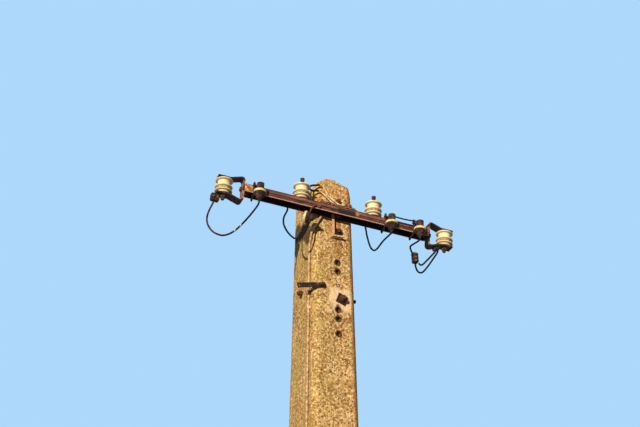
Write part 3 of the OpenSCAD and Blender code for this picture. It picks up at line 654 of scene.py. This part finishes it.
def bare_strand(name, body, dark):
    """Bare stranded wire, oxidised to a flat grey-tan, darker where dirt sits."""
    material, tree, where = new_material(name)
    skin = coat(tree, body, dark, patches(tree, where, 12, 0.4, 0.66, 4.0))
    return finished(material, where, skin, (3, 3.0), 0.2, 0.55, Metallic=0.15)


# The finished materials: rusty_steel takes its scale, deep rust, fresh rust, share and patch size
concrete = weathered_concrete()
channel = rusty_channel()
shoe_steel = worn_shoe()
rolled = rusty_steel("rusty_rolled_steel", "#3A241E", "#84503F", "#A9684A", 0.5, 26)
saddle = rusty_steel("worn_galvanised_bar", "#2A1E1C", "#6E5248", "#E8C4A4", 0.6, 12)
strap = rusty_strap()
dark_rod = rusty_steel("dark_steel_rod", "#241A1A", "#54403C", "#86685C", 0.4, 12)
cast = rusty_steel("rusty_cast_iron", "#140E0F", "#48302A", "#966452", 0.45, 16, depth_mm=0.8)
dark_cast = rusty_steel("weathered_cast_clamp", "#0D0A0B", "#2C1D1A", "#7A4E3C", 0.4, 12, depth_mm=0.8)
fastener = rusty_steel("rusty_fastener_steel", "#241613", "#6C4032", "#B27050", 0.55, 10)
worn_bolt = rusty_steel("worn_bolt_heads", "#2E2019", "#7C5C46", "#AE8A68", 0.5, 8)
pale_steel = rusty_steel("pale_galvanised_steel", "#AC8860", "#E0C094", "#F6DCB4", 0.6, 18)
porcelain = glazed_porcelain("glazed_porcelain", "#FBF0CC", "#F0DEB0", "#A07C50", 0.3)
small_porcelain = glazed_porcelain("arrester_porcelain", "#F4E2AE", "#E0C486", "#7A5430", 0.6)
lead_black = weathered_polyethylene()
lead_bare = bare_strand("bare_aluminium_lead", "#EACBA2", "#B48E62")
earth_strand = bare_strand("weathered_earth_strand", "#D8B48A", "#8E6642")
binding = bare_strand("binding_wire", "#E0C89C", "#8A6A48")

# Nodes whose material doesn't follow from the end of their name
FINISHES = {
    "crossarm": channel,
    "rear_plate": rolled,
    "arrester_4_hook": rolled,
    "saddle_plate": saddle,
    "left_stirrup": strap,
    "right_stirrup": strap,
    "service_bracket": strap,
    "tie_plates": strap,
    "shoe_bolt": cast,
    "shoe": shoe_steel,
    "hanger_rod": pale_steel,
    "earth_clips": pale_steel,
    "earth_lead": earth_strand,
}


def paint(piece, material):
    """Puts one material on a whole piece."""
    piece.data.materials.clear()
    piece.data.materials.append(material)


def add_piece(piece, node, material):
    """Lets a finished piece stand for its node, which it hides, and gives it its material."""
    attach(piece, "root")
    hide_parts(node)
    paint(piece, material)


def paint_nodes():
    """A material on every one of the part's own nodes, also on those that a finer piece replaces."""
    for name, piece in nodes.items():
        if name in FINISHES:
            paint(piece, FINISHES[name])
        elif name.endswith("_spindle"):
            paint(piece, dark_rod)
        elif name.endswith(("_cup", "_bracket", "_clamp")):
            paint(piece, cast)
        else:
            paint(piece, fastener)


def shaft_outline(z):
    """The pole's outline at a height: even points from the front's left end round to the right."""
    w, d = half_size(z)
    c = CHAMFER
    corners = [
        (-w + c, -d), (w - c, -d), (w, -d + c), (w, d - c),
        (w - c, d), (-w + c, d), (-w, d - c), (-w, -d + c),
    ]
    steps = (26, 8, 40, 8, 26, 8, 40, 8)
    points = []
    for i, count in enumerate(steps):
        a = Vector(corners[i])
        b = Vector(corners[(i + 1) % 8])
        # The short sides are the chamfers, which wear has rounded
        bulge = ROUNDED if i % 2 else 0.0
        out = Vector((math.copysign(1, a.x + b.x), math.copysign(1, a.y + b.y))).normalized()
        points += [
            a.lerp(b, k / count) + out * bulge * math.sin(math.pi * k / count)
            for k in range(count)
        ]
    return points


def roof(x):
    """Height of the top at a distance from the middle: two slopes, then a steep shoulder."""
    side = 1 if x > RIDGE_X else -1
    slope = GABLE_RISE / (TOP_W / 2 - RIDGE_W / 2 - side * RIDGE_X)
    fall = (abs(x - RIDGE_X) - RIDGE_W / 2) * slope
    steep = SHOULDER_FROM * GABLE_RISE + (abs(x) - TOP_W / 2 + SHOULDER_W) * SHOULDER_SLOPE
    return POLE_H - max(0.0, fall, steep)


def worn(point, inward, edge):
    """A surface point after weathering, always moved inwards and more at an arris."""
    broad = noise.noise(point / 45) * 0.5 + 0.5
    fine = noise.noise(point / 9 + Vector((7, 3, 1))) * 0.5 + 0.5
    chip = max(0.0, noise.noise(point / 28 + Vector((0, 9, 4))) - 0.1)
    depth = 0.7 * broad + 1.1 * fine + edge * (1.6 + 10 * chip)
    return point + inward * depth


def shaft_rings():
    """Rings of points up the walls, over the eaves and in over the top, each with its own height."""
    fine_from = POLE_H - 1300
    eave_from = POLE_H - 72
    coarse_step = 40.0
    fine_step = 6.0
    heights = []
    z = 0.0
    while z < eave_from - 1:
        heights.append(z)
        z += coarse_step if z < fine_from - coarse_step else fine_step
    rings = [[Vector((p.x, p.y, z)) for p in shaft_outline(z)] for z in heights]
    eave_steps = 12
    for k in range(eave_steps + 1):
        share = k / eave_steps
        ring = []
        for low, high in zip(shaft_outline(eave_from), shaft_outline(POLE_H)):
            p = low.lerp(high, share)
            ring.append(Vector((p.x, p.y, eave_from + (roof(p.x) - eave_from) * share)))
        rings.append(ring)
    wall = len(rings) - 1
    cap_steps = 20
    eave = rings[-1]
    for k in range(1, cap_steps):
        share = 1 - k / cap_steps
        xs = [RIDGE_X + (p.x - RIDGE_X) * share for p in eave]
        rings.append([Vector((x, p.y * share, roof(x))) for x, p in zip(xs, eave)])
    return rings, wall


def worn_shaft_point(p, top_row, over_top):
    """A point of the shaft after weathering: most at a chamfer's arris and at the rim of the top."""
    w, d = half_size(p.z)
    gap_x = w - abs(p.x)
    gap_y = d - abs(p.y)
    on_wall = min(gap_x, gap_y) < 0.5
    arris = max(0.0, 1 - abs(gap_x + gap_y - CHAMFER) / 9) if on_wall else 0.0
    to_edge = min(gap_x, gap_y) if over_top else roof(p.x) - p.z
    rim = max(0.0, 1 - to_edge / 14)
    down = Vector((0, 0, -1))
    inward = down if over_top else Vector((-p.x, -p.y, 0)).normalized()
    if top_row:
        inward = (inward + down).normalized()
    return worn(p, inward, max(0.25 * arris, 0.6 * rim))


def cutter(place, axis, start_d, end_d, long_mm):
    """A closed cone or cylinder along an axis, centred on a place."""
    shape = bmesh.new()
    turn = Vector((0, 0, 1)).rotation_difference(axis).to_matrix().to_4x4()
    bmesh.ops.create_cone(
        shape,
        cap_ends=True,
        segments=40,
        radius1=start_d / 2 * MM,
        radius2=end_d / 2 * MM,
        depth=long_mm * MM,
        matrix=Matrix.Translation(place) @ turn,
    )
    return shape


def hole_cutters():
    """A cutter through the shaft for each of the part's holes, and one for each broken mouth."""
    across_y = Vector((0, 1, 0))
    across_x = Vector((1, 0, 0))
    cuts = [(Vector((HOLE_X, 0, POLE_H - drop)), across_y, HOLE_D) for drop in FRONT_HOLE_DROPS]
    cuts += [(Vector((x, 0, POLE_H - drop)), across_y, wide) for x, drop, wide in BOLT_HOLES]
    cuts += [(Vector((0, y, POLE_H - drop)), across_x, wide) for y, drop, wide in SIDE_HOLES]
    arm_axis = (ARM.to_3x3() @ across_y).normalized()
    arm_face = (ARM @ (Vector((ARM_BOLT_X, 0, 0)) * MM)) / MM
    arm_mid = arm_face + arm_axis * half_size(POLE_H - ARM_DROP)[1]
    cuts.append((arm_mid, arm_axis, ARM_BOLT_HOLE_D))
    through_mm = 520
    cutters = [cutter(place * MM, axis, wide, wide, through_mm) for place, axis, wide in cuts]
    for drop in FRONT_HOLE_DROPS:
        low = POLE_H - drop
        mouth = Vector((HOLE_X, -half_size(low)[1] + MOUTH_DEEP / 4, low))
        cutters.append(cutter(mouth * MM, across_y, MOUTH_D + 4, HOLE_D - 2, MOUTH_DEEP))
    return cutters


def cut_holes(shaft):
    """Cuts every hole of the part through the worn shaft."""
    joined = bmesh.new()
    for one in hole_cutters():
        part = bpy.data.meshes.new("cut")
        one.to_mesh(part)
        one.free()
        joined.from_mesh(part)
        bpy.data.meshes.remove(part)
    mesh = bpy.data.meshes.new("cuts")
    joined.to_mesh(mesh)
    joined.free()
    tool = bpy.data.objects.new("cuts", mesh)
    bpy.context.collection.objects.link(tool)
    step = shaft.modifiers.new("holes", "BOOLEAN")
    step.object = tool
    step.operation = "DIFFERENCE"
    step.solver = "EXACT"
    bpy.context.view_layer.update()
    solved = shaft.evaluated_get(bpy.context.evaluated_depsgraph_get())
    cut = bpy.data.meshes.new_from_object(solved)
    shaft.modifiers.clear()
    shaft.data = cut
    bpy.data.objects.remove(tool)


def add_shaft():
    """The concrete shaft with worn faces and arrises, and the holes that the part has."""
    rings, wall = shaft_rings()
    sides = len(rings[0])
    verts = [
        worn_shaft_point(p, i == wall, i > wall) * MM
        for i, ring in enumerate(rings)
        for p in ring
    ]
    faces = ring_walls(len(rings), sides)
    verts.append(Vector((RIDGE_X, 0, POLE_H - 1)) * MM)
    last = (len(rings) - 1) * sides
    faces += [(last + k, last + (k + 1) % sides, len(verts) - 1) for k in range(sides)]
    faces.append(tuple(range(sides)))
    shaft = finish_mesh("weathered_shaft", verts, faces)
    cut_holes(shaft)
    add_piece(shaft, "pole_shaft", concrete)


def spool_profile():
    """Foot, three thin rims that overhang, the wire groove and the neck, as one closed line."""
    bore = SPOOL_BORE_D / 2
    rim = SPOOL_D / 2 - RIM_T - 0.1
    neck = NECK_R
    line = [(bore, 0), (28.5, 0), (30, 1.5), (neck + 0.6, 5), (33.5, 7.8)]
    line += arc(rim, 12, RIM_T, -72, 90, 12)
    line += [(36, 15.4), (32.5, 16.4), (neck + 1, 18.4)]
    line += [(neck + 0.6, GROOVE_Z), (neck + 1, 26), (33.5, 29.6)]
    line += arc(rim, 34, RIM_T, -72, 90, 12)
    line += [(36, 37.4), (32.5, 38.6), (neck, 41.5), (neck - 0.5, 46)]
    line += [(neck - 0.5, 59), (neck + 0.5, 62.4), (33.5, 65)]
    line += arc(rim, 69.4, RIM_T, -72, 80, 12)
    line += [(35, 74), (29, 77.6)]
    line += arc(24, 78, 1.9, 80, 100, 2)
    return line + [(bore + 1, SPOOL_H - 0.1), (bore, SPOOL_H - 1)]


def spool_dirt_and_shade(r, z):
    """Dirt and painted shade in the wire groove, and a painted shadow line at the root of each rim."""
    if 15.8 < z < 25 and r < 34:
        return 0.6
    return 0.7 if 29 < z < 31 or 64 < z < 66 or 7 < z < 9 else 0.0


def spool_places():
    """Each insulator's node, with the place of its foot."""
    return {
        "left_end_insulator": on_arm(-OUTER_X, MID_Y, LEFT_RISE - SPOOL_H / 2),
        "left_inner_insulator": on_arm(-INNER_X, MID_Y, SPOOL_BASE),
        "right_inner_insulator": on_arm(INNER_X, MID_Y, SPOOL_BASE),
        "right_end_insulator": on_arm(OUTER_X, MID_Y, RIGHT_RISE - SPOOL_H / 2),
    }


def binding_strand(place, phase):
    """One of two strands twisted together, and laid once round a spool's wire groove."""
    core = NECK_R + BINDING_D
    steps = 168
    line = []
    for k in range(steps):
        a = k / steps * math.tau * 0.996
        twist = a * BINDING_TWISTS + phase
        out = core + BINDING_OFFSET * math.cos(twist)
        height = GROOVE_Z + BINDING_OFFSET * math.sin(twist)
        line.append(place @ (Vector((out * math.cos(a), out * math.sin(a), height)) * MM))
    return line


def add_spools():
    """The four insulators, each with two strands of wire bound round its groove."""
    for name, place in spool_places().items():
        spool_name = name.replace("insulator", "spool")
        spool = lathe(spool_name, spool_profile(), place, dirt_and_shade=spool_dirt_and_shade)
        add_piece(spool, name, porcelain)
        for k in range(2):
            line = binding_strand(place, math.pi * k)
            wire = sweep(f"{name}_binding_{k + 1}", line, BINDING_D / 2 * MM, sides=12)
            add_piece(wire, "tie_wires", binding)


def arrester_profile():
    """A shallow porcelain cap with a rolled edge, as one closed line."""
    edge = ARRESTER_D / 2
    belt = 9.0
    rise = ARRESTER_H - 0.1 - belt
    steps = 20
    dome = []
    for i in range(1, steps + 1):
        a = math.pi / 2 * i / steps
        dome.append((max(0.1, (edge - 0.1) * math.cos(a)), belt + rise * math.sin(a)))
    rolled_edge = arc(edge - 2.6, 2.6, 2.5, -80, 0, 6)
    return [(0.1, 0), (edge - 3, 0)] + rolled_edge + [(edge - 0.1, belt)] + dome


def arrester_places():
    """Each arrester cap's node, with the place of its flat side."""
    places = {}
    for k in range(3):
        low = ARRESTER_LIFT[k] - ARM_H / 2 - ARRESTER_SEAT
        places[f"arrester_{k + 1}_body"] = on_arm(ARRESTER_X[k], ARRESTER_Y, low)
    turned = Matrix.Rotation(SIDE_TURN, 4, "Z") @ Matrix.Rotation(SIDE_TIP, 4, "Y")
    places["arrester_4_body"] = on_arm(*SIDE_ARRESTER) @ turned
    return places


def add_arrester_caps():
    """The porcelain of the four arresters."""
    for name, place in arrester_places().items():
        cap = lathe(name.replace("body", "cap"), arrester_profile(), place, 56)
        add_piece(cap, name, small_porcelain)


# Free leads, each through the same chosen points as the part's own, in the arm's frame
LEADS = {
    "left_jumper": (
        (-611, -30, -100.5), (-618, -32, -122), (-627, -34, -150), (-634, -37, -179),
        (-636, -41, -206), (-632, -45, -231), (-621, -49, -253), (-604, -53, -271),
        (-583, -57, -281), (-560, -60, -283), (-538, -64, -275), (-518, -68, -261),
        (-500, -72, -242), (-483, -75, -219), (-465, -80, -192), (-447, -84, -162),
        (-430, -88, -131), (-417, -91, -105), (-412, -93, -90), (-411, -93, -79.3),
    ),
    "left_inner_jumper": (
        (-214.6, -2.4, 49), (-223, 6, 48), (-230, 13, 41), (-234, 17, 29), (-236, 18, 13),
        (-236, 16, -4), (-237, 12, -21), (-242, 8, -39), (-250, 3, -58), (-256, -2, -78),
        (-258, -6, -99), (-256, -11, -121), (-249, -16, -141), (-240, -21, -159), (-228, -27, -176),
        (-215, -33, -190), (-202, -37, -196), (-189, -43, -194), (-177, -49, -186),
        (-168, -54, -172), (-162, -57, -156), (-157, -57, -140), (-152, -54, -127),
        (-148, -51.5, -115), (-145.3, -52.7, -102.7),
    ),
    "right_inner_jumper": (
        (175, 7, 49), (172, 15, 48), (170, 21, 42), (168.5, 24, 31), (168, 23, 17), (168, 19, 1),
        (168.5, 14, -15), (170, 8, -34), (171, 1, -58), (174, -8, -86), (178, -19, -118),
        (183, -30, -144), (189, -40, -159), (196, -49, -165), (204, -58, -159), (212, -65, -146),
        (221, -72, -129), (232, -78, -112), (244, -84, -97), (254, -89, -84), (260, -92.5, -77),
        (261, -93, -71.3),
    ),
    "right_jumper": (
        (411, -93, -67.4), (410.5, -93, -73), (406, -92, -80), (398, -90.5, -88),
        (388.5, -88.5, -96), (379, -86.5, -104), (370, -84, -112), (366.5, -82, -121),
        (370, -79, -130), (377, -75, -139), (384, -71.5, -150), (390, -69, -162), (396, -66, -177),
        (402, -63.5, -191), (407, -60, -205), (413, -57, -217), (422, -54, -226), (433, -52, -229),
        (446, -50, -224), (458, -47, -211), (469, -44.5, -195), (480, -41.5, -178),
        (491, -38.5, -160), (502, -35.5, -141), (513, -32.5, -122), (524, -29.5, -103),
        (533, -28, -86), (539, -27.5, -71.5),
    ),
    "right_short_jumper": (
        (422.5, -63, -187), (431, -59, -190), (440, -55, -187), (450, -50, -178), (460, -46, -166),
        (471, -42, -151), (482, -38.5, -137), (493, -35, -122), (504, -31.5, -107), (514, -28, -94),
        (521, -27, -84), (526, -27, -76.6),
    ),
}

# The wire that loops over the pole's shoulder, with both ends down on the saddle
TOP_LEAD = (
    (-14, -40, 4.5), (-24, -36, 12), (-36, -27, 26), (-48, -18, 44), (-61, -14, 58),
    (-77, -12, 70), (-95, -12, 75), (-114, -12, 71), (-129, -13, 67), (-139, -14, 71),
    (-142, -15, 81), (-137, -14, 91), (-125, -13, 98), (-108, -12, 104), (-92, -12, 109),
    (-80, -12, 109), (-70, -12, 101), (-61, -12, 88), (-50, -13, 72), (-38, -15, 55),
    (-24, -21, 40), (-8, -28, 25), (6, -35, 13), (16, -40, 6.5), (24, -42, 4.5),
)


def add_leads():
    """The free leads between the line clamps, the insulators and the arresters."""
    for name, points in LEADS.items():
        line = route(points, 6)
        radius = (LEAD_D / 2 - 0.1) * MM
        lead = sweep(name + "_strands", line, radius, sides=28, lobes=7, groove=0.04)
        add_piece(lead, name, lead_black)


def add_top_lead():
    """The bare wire looped over the pole's shoulder, with a sleeve where it turns back."""
    line = route(TOP_LEAD, 6, SADDLE_TOP)
    radius = TOP_LEAD_D / 2 * MM
    wire = sweep("top_lead_wire", line, radius, sides=20, lobes=5, lay_mm=60, groove=0.08)
    covered = line[SLEEVE_FROM:SLEEVE_TO]
    sleeve = sweep("top_lead_sleeve", covered, SLEEVE_SHARE * radius, sides=20)
    add_piece(wire, "top_lead", lead_bare)
    add_piece(sleeve, "top_lead", lead_black)


def clamp_body(name, place, long_mm, wide_mm, deep_mm, bolts):
    """Two cast jaws that meet at a parting line, with a swell round each bolt along their length."""
    steps = 14 * bolts
    half = []
    for k in range(steps + 1):
        along = k / steps
        swell = 0.8 + 0.2 * abs(math.sin(math.pi * bolts * along)) ** 0.7
        end = min(1.0, 0.72 + 5 * min(along, 1 - along))
        half.append(((along - 0.5) * long_mm, wide_mm / 2 * swell * end))
    outline = half + [(u, -v) for u, v in reversed(half)]
    # Share of the depth, and of the outline there
    back = [(0.04, 0.9), (0.08, 1.0), (0.36, 1.0), (0.42, 0.96), (0.5, 0.86)]
    layers = [(-depth, scale) for depth, scale in reversed(back)] + back
    verts = [
        place @ (Vector((v * scale, depth * deep_mm, u * scale)) * MM)
        for depth, scale in layers
        for u, v in outline
    ]
    return finish_mesh(name, verts, tube_faces(len(layers), len(outline)), False)


def bolt_head(name, place, across_mm, high_mm):
    """A hexagonal head with a turned chamfer, standing up from the place."""
    corner = across_mm / 2
    profile = [(0.1, 0), (corner, 0), (corner, high_mm - 1.2), (corner - 1.2, high_mm), (0.1, high_mm)]
    return lathe(name, profile, place, 6)


def thread(name, place, across_mm, high_mm, pitch_mm):
    """The threaded end of a bolt, its ridge running round in one helix."""
    turns = 24
    rows = int(high_mm / pitch_mm * 4)
    verts = []
    for i in range(rows + 1):
        z = high_mm * i / rows
        for k in range(turns):
            a = k / turns * math.tau
            ridge = abs((z / pitch_mm - k / turns) % 1 - 0.5) * 2
            r = across_mm / 2 + 0.7 * ridge - 0.1
            verts.append(place @ (Vector((r * math.cos(a), r * math.sin(a), z)) * MM))
    return finish_mesh(name, verts, tube_faces(rows + 1, turns))


def add_clamp(node, place, size, bolts, bolt_x=0.0):
    """A cast clamp with its row of bolts: heads in front, and nuts with thread ends behind."""
    long_mm, wide_mm, deep_mm = size
    stem = node + "_cast"
    jaws = clamp_body(stem, place, long_mm, wide_mm, deep_mm, bolts)
    add_piece(jaws, node, dark_cast)
    for k in range(bolts):
        along = ((k + 0.5) / bolts - 0.5) * long_mm
        front = place @ Matrix.Translation(Vector((bolt_x, -deep_mm / 2, along)) * MM) @ FORWARD
        back = Matrix.Translation(Vector((bolt_x, deep_mm / 2, along)) * MM)
        back = place @ back @ FORWARD.inverted()
        head = bolt_head(f"{stem}_head_{k + 1}", front, BOLT_ACROSS, BOLT_HIGH)
        nut = bolt_head(f"{stem}_nut_{k + 1}", back, BOLT_ACROSS, BOLT_HIGH)
        tail = thread(f"{stem}_thread_{k + 1}", back, BOLT_D, BOLT_HIGH + BOLT_TAIL, BOLT_PITCH)
        add_piece(head, node, worn_bolt)
        add_piece(nut, node, fastener)
        add_piece(tail, node, fastener)


def add_clamps():
    """The clamps on the free leads, each where the part has it."""
    under_ear = LEFT_RISE - SPOOL_H / 2 - SEAT - STRAP_T
    upright = Matrix.Rotation(math.pi / 2, 4, "Y")
    left_x = -OUTER_X - STRAP_PAST - 1
    left = on_arm(left_x, MID_Y, under_ear - SEAT - LEFT_CLAMP_SIZE[0] / 2) @ upright
    add_clamp("left_line_clamp", left, LEFT_CLAMP_SIZE, 2)
    groove = on_arm(*GROOVE_CLAMP) @ Matrix.Rotation(GROOVE_CLAMP_TURN, 4, "Y")
    add_clamp("groove_clamp", groove, GROOVE_CLAMP_SIZE, 3, -3.0)


def add_bond_wire():
    """The stiff wire between two arrester heads, as thick as it looks with its weathered cover."""
    low, high = (Vector(corner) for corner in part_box("bond_wire"))
    middle_y = (low.y + high.y) / 2
    inset = 3 * MM
    start = Vector((low.x, middle_y, high.z - inset))
    end = Vector((high.x, middle_y, low.z + inset))
    steps = 24
    line = []
    for k in range(steps + 1):
        sag = BOND_SAG * math.sin(math.pi * k / steps) * MM
        line.append(start.lerp(end, k / steps) - Vector((0, 0, sag)))
    wire = sweep("bond_wire_cover", line, BOND_D / 2 * MM, sides=16)
    add_piece(wire, "bond_wire", lead_black)


def add_camera():
    """The photograph's viewing angle: low on the left, looking up at the head of the pole."""
    azimuth = math.radians(-21.0)
    rise = math.radians(27.5)
    focal_px = 1300.0
    image_w = 640.0
    distance = 6.5
    aim = Vector((0, 0, 7.4))
    aim_px = Vector((2.7, 21.9))
    level = math.cos(rise)
    forward = Vector((-math.sin(azimuth) * level, math.cos(azimuth) * level, math.sin(rise)))
    right = Vector((math.cos(azimuth), math.sin(azimuth), 0))
    up = right.cross(forward)
    metres_per_px = distance / focal_px
    place = aim - distance * forward - metres_per_px * (aim_px.x * right + aim_px.y * up)
    lens = bpy.data.cameras.new("camera")
    lens.sensor_width = 36
    lens.lens = focal_px / image_w * lens.sensor_width
    lens.clip_end = 100
    camera = bpy.data.objects.new("camera", lens)
    axes = Matrix((right, up, -forward)).transposed()
    camera.matrix_world = Matrix.Translation(place) @ axes.to_4x4()
    bpy.context.collection.objects.link(camera)
    bpy.context.scene.camera = camera


def add_sun(name, energy, tone, azimuth, rise):
    """A sun from a direction in degrees, nearly as sharp as the real one."""
    lamp = bpy.data.lights.new(name, "SUN")
    lamp.energy = energy
    lamp.angle = math.radians(1.2)
    lamp.color = colour(tone)[:3]
    sun = bpy.data.objects.new(name, lamp)
    level = math.cos(math.radians(rise))
    toward = Vector((
        -math.sin(math.radians(azimuth)) * level,
        -math.cos(math.radians(azimuth)) * level,
        math.sin(math.radians(rise)),
    ))
    sun.rotation_euler = toward.to_track_quat("Z", "Y").to_euler()
    bpy.context.collection.objects.link(sun)


def seen_directly(tree):
    """1 where the stage is seen: from the camera, in a reflection or through a clear piece."""
    path = add(tree, "LightPath").outputs
    seen = (path["Is Camera Ray"], path["Is Glossy Ray"])
    direct = add(tree, "Math", seen, operation="MAXIMUM")
    return add(tree, "Math", (direct, path["Is Transmission Ray"]), operation="MAXIMUM")


def add_floor():
    """A pale floor, as wide as any view can see."""
    shape = bmesh.new()
    bmesh.ops.create_circle(shape, cap_ends=True, segments=96, radius=60)
    mesh = bpy.data.meshes.new("floor")
    shape.to_mesh(mesh)
    shape.free()
    floor = bpy.data.objects.new("floor", mesh)
    bpy.context.collection.objects.link(floor)
    material = bpy.data.materials.new("pale_floor")
    tree = empty_tree(material)
    # Pale to the eye, and dark to the light that it would throw up under the arm
    tones = {"Factor": seen_directly(tree), "A": "#5C5C58", "B": "#D9DDE0"}
    shade = add(tree, "Mix", tones, data_type="RGBA")
    board = add(tree, "BsdfPrincipled", {"Base Color": shade, "Roughness": 0.9})
    add(tree, "OutputMaterial", {"Surface": board})
    paint(floor, material)


def add_studio():
    """Plain pale floor and background, a warm key light, a weaker one behind and an even fill."""
    bpy.context.scene.view_settings.view_transform = "Standard"
    add_floor()
    world = bpy.data.worlds.new("studio")
    bpy.context.scene.world = world
    tree = empty_tree(world)
    fill = add(tree, "Background", {"Color": "#EAE6DE", "Strength": 0.13})
    backdrop = add(tree, "Background", {"Color": "#AED8FB", "Strength": 1.0})
    mix = add(tree, "MixShader", (seen_directly(tree), fill, backdrop))
    add(tree, "OutputWorld", {"Surface": mix})
    add_sun("key", 4.45, "#FFEBCB", KEY_AZIMUTH, KEY_RISE)
    add_sun("back", 1.3, "#EAF2FF", BACK_AZIMUTH, BACK_RISE)


add_camera()
add_leads()
add_top_lead()
add_studio()
add_shaft()
add_spools()
add_arrester_caps()
add_clamps()
add_bond_wire()
paint_nodes()
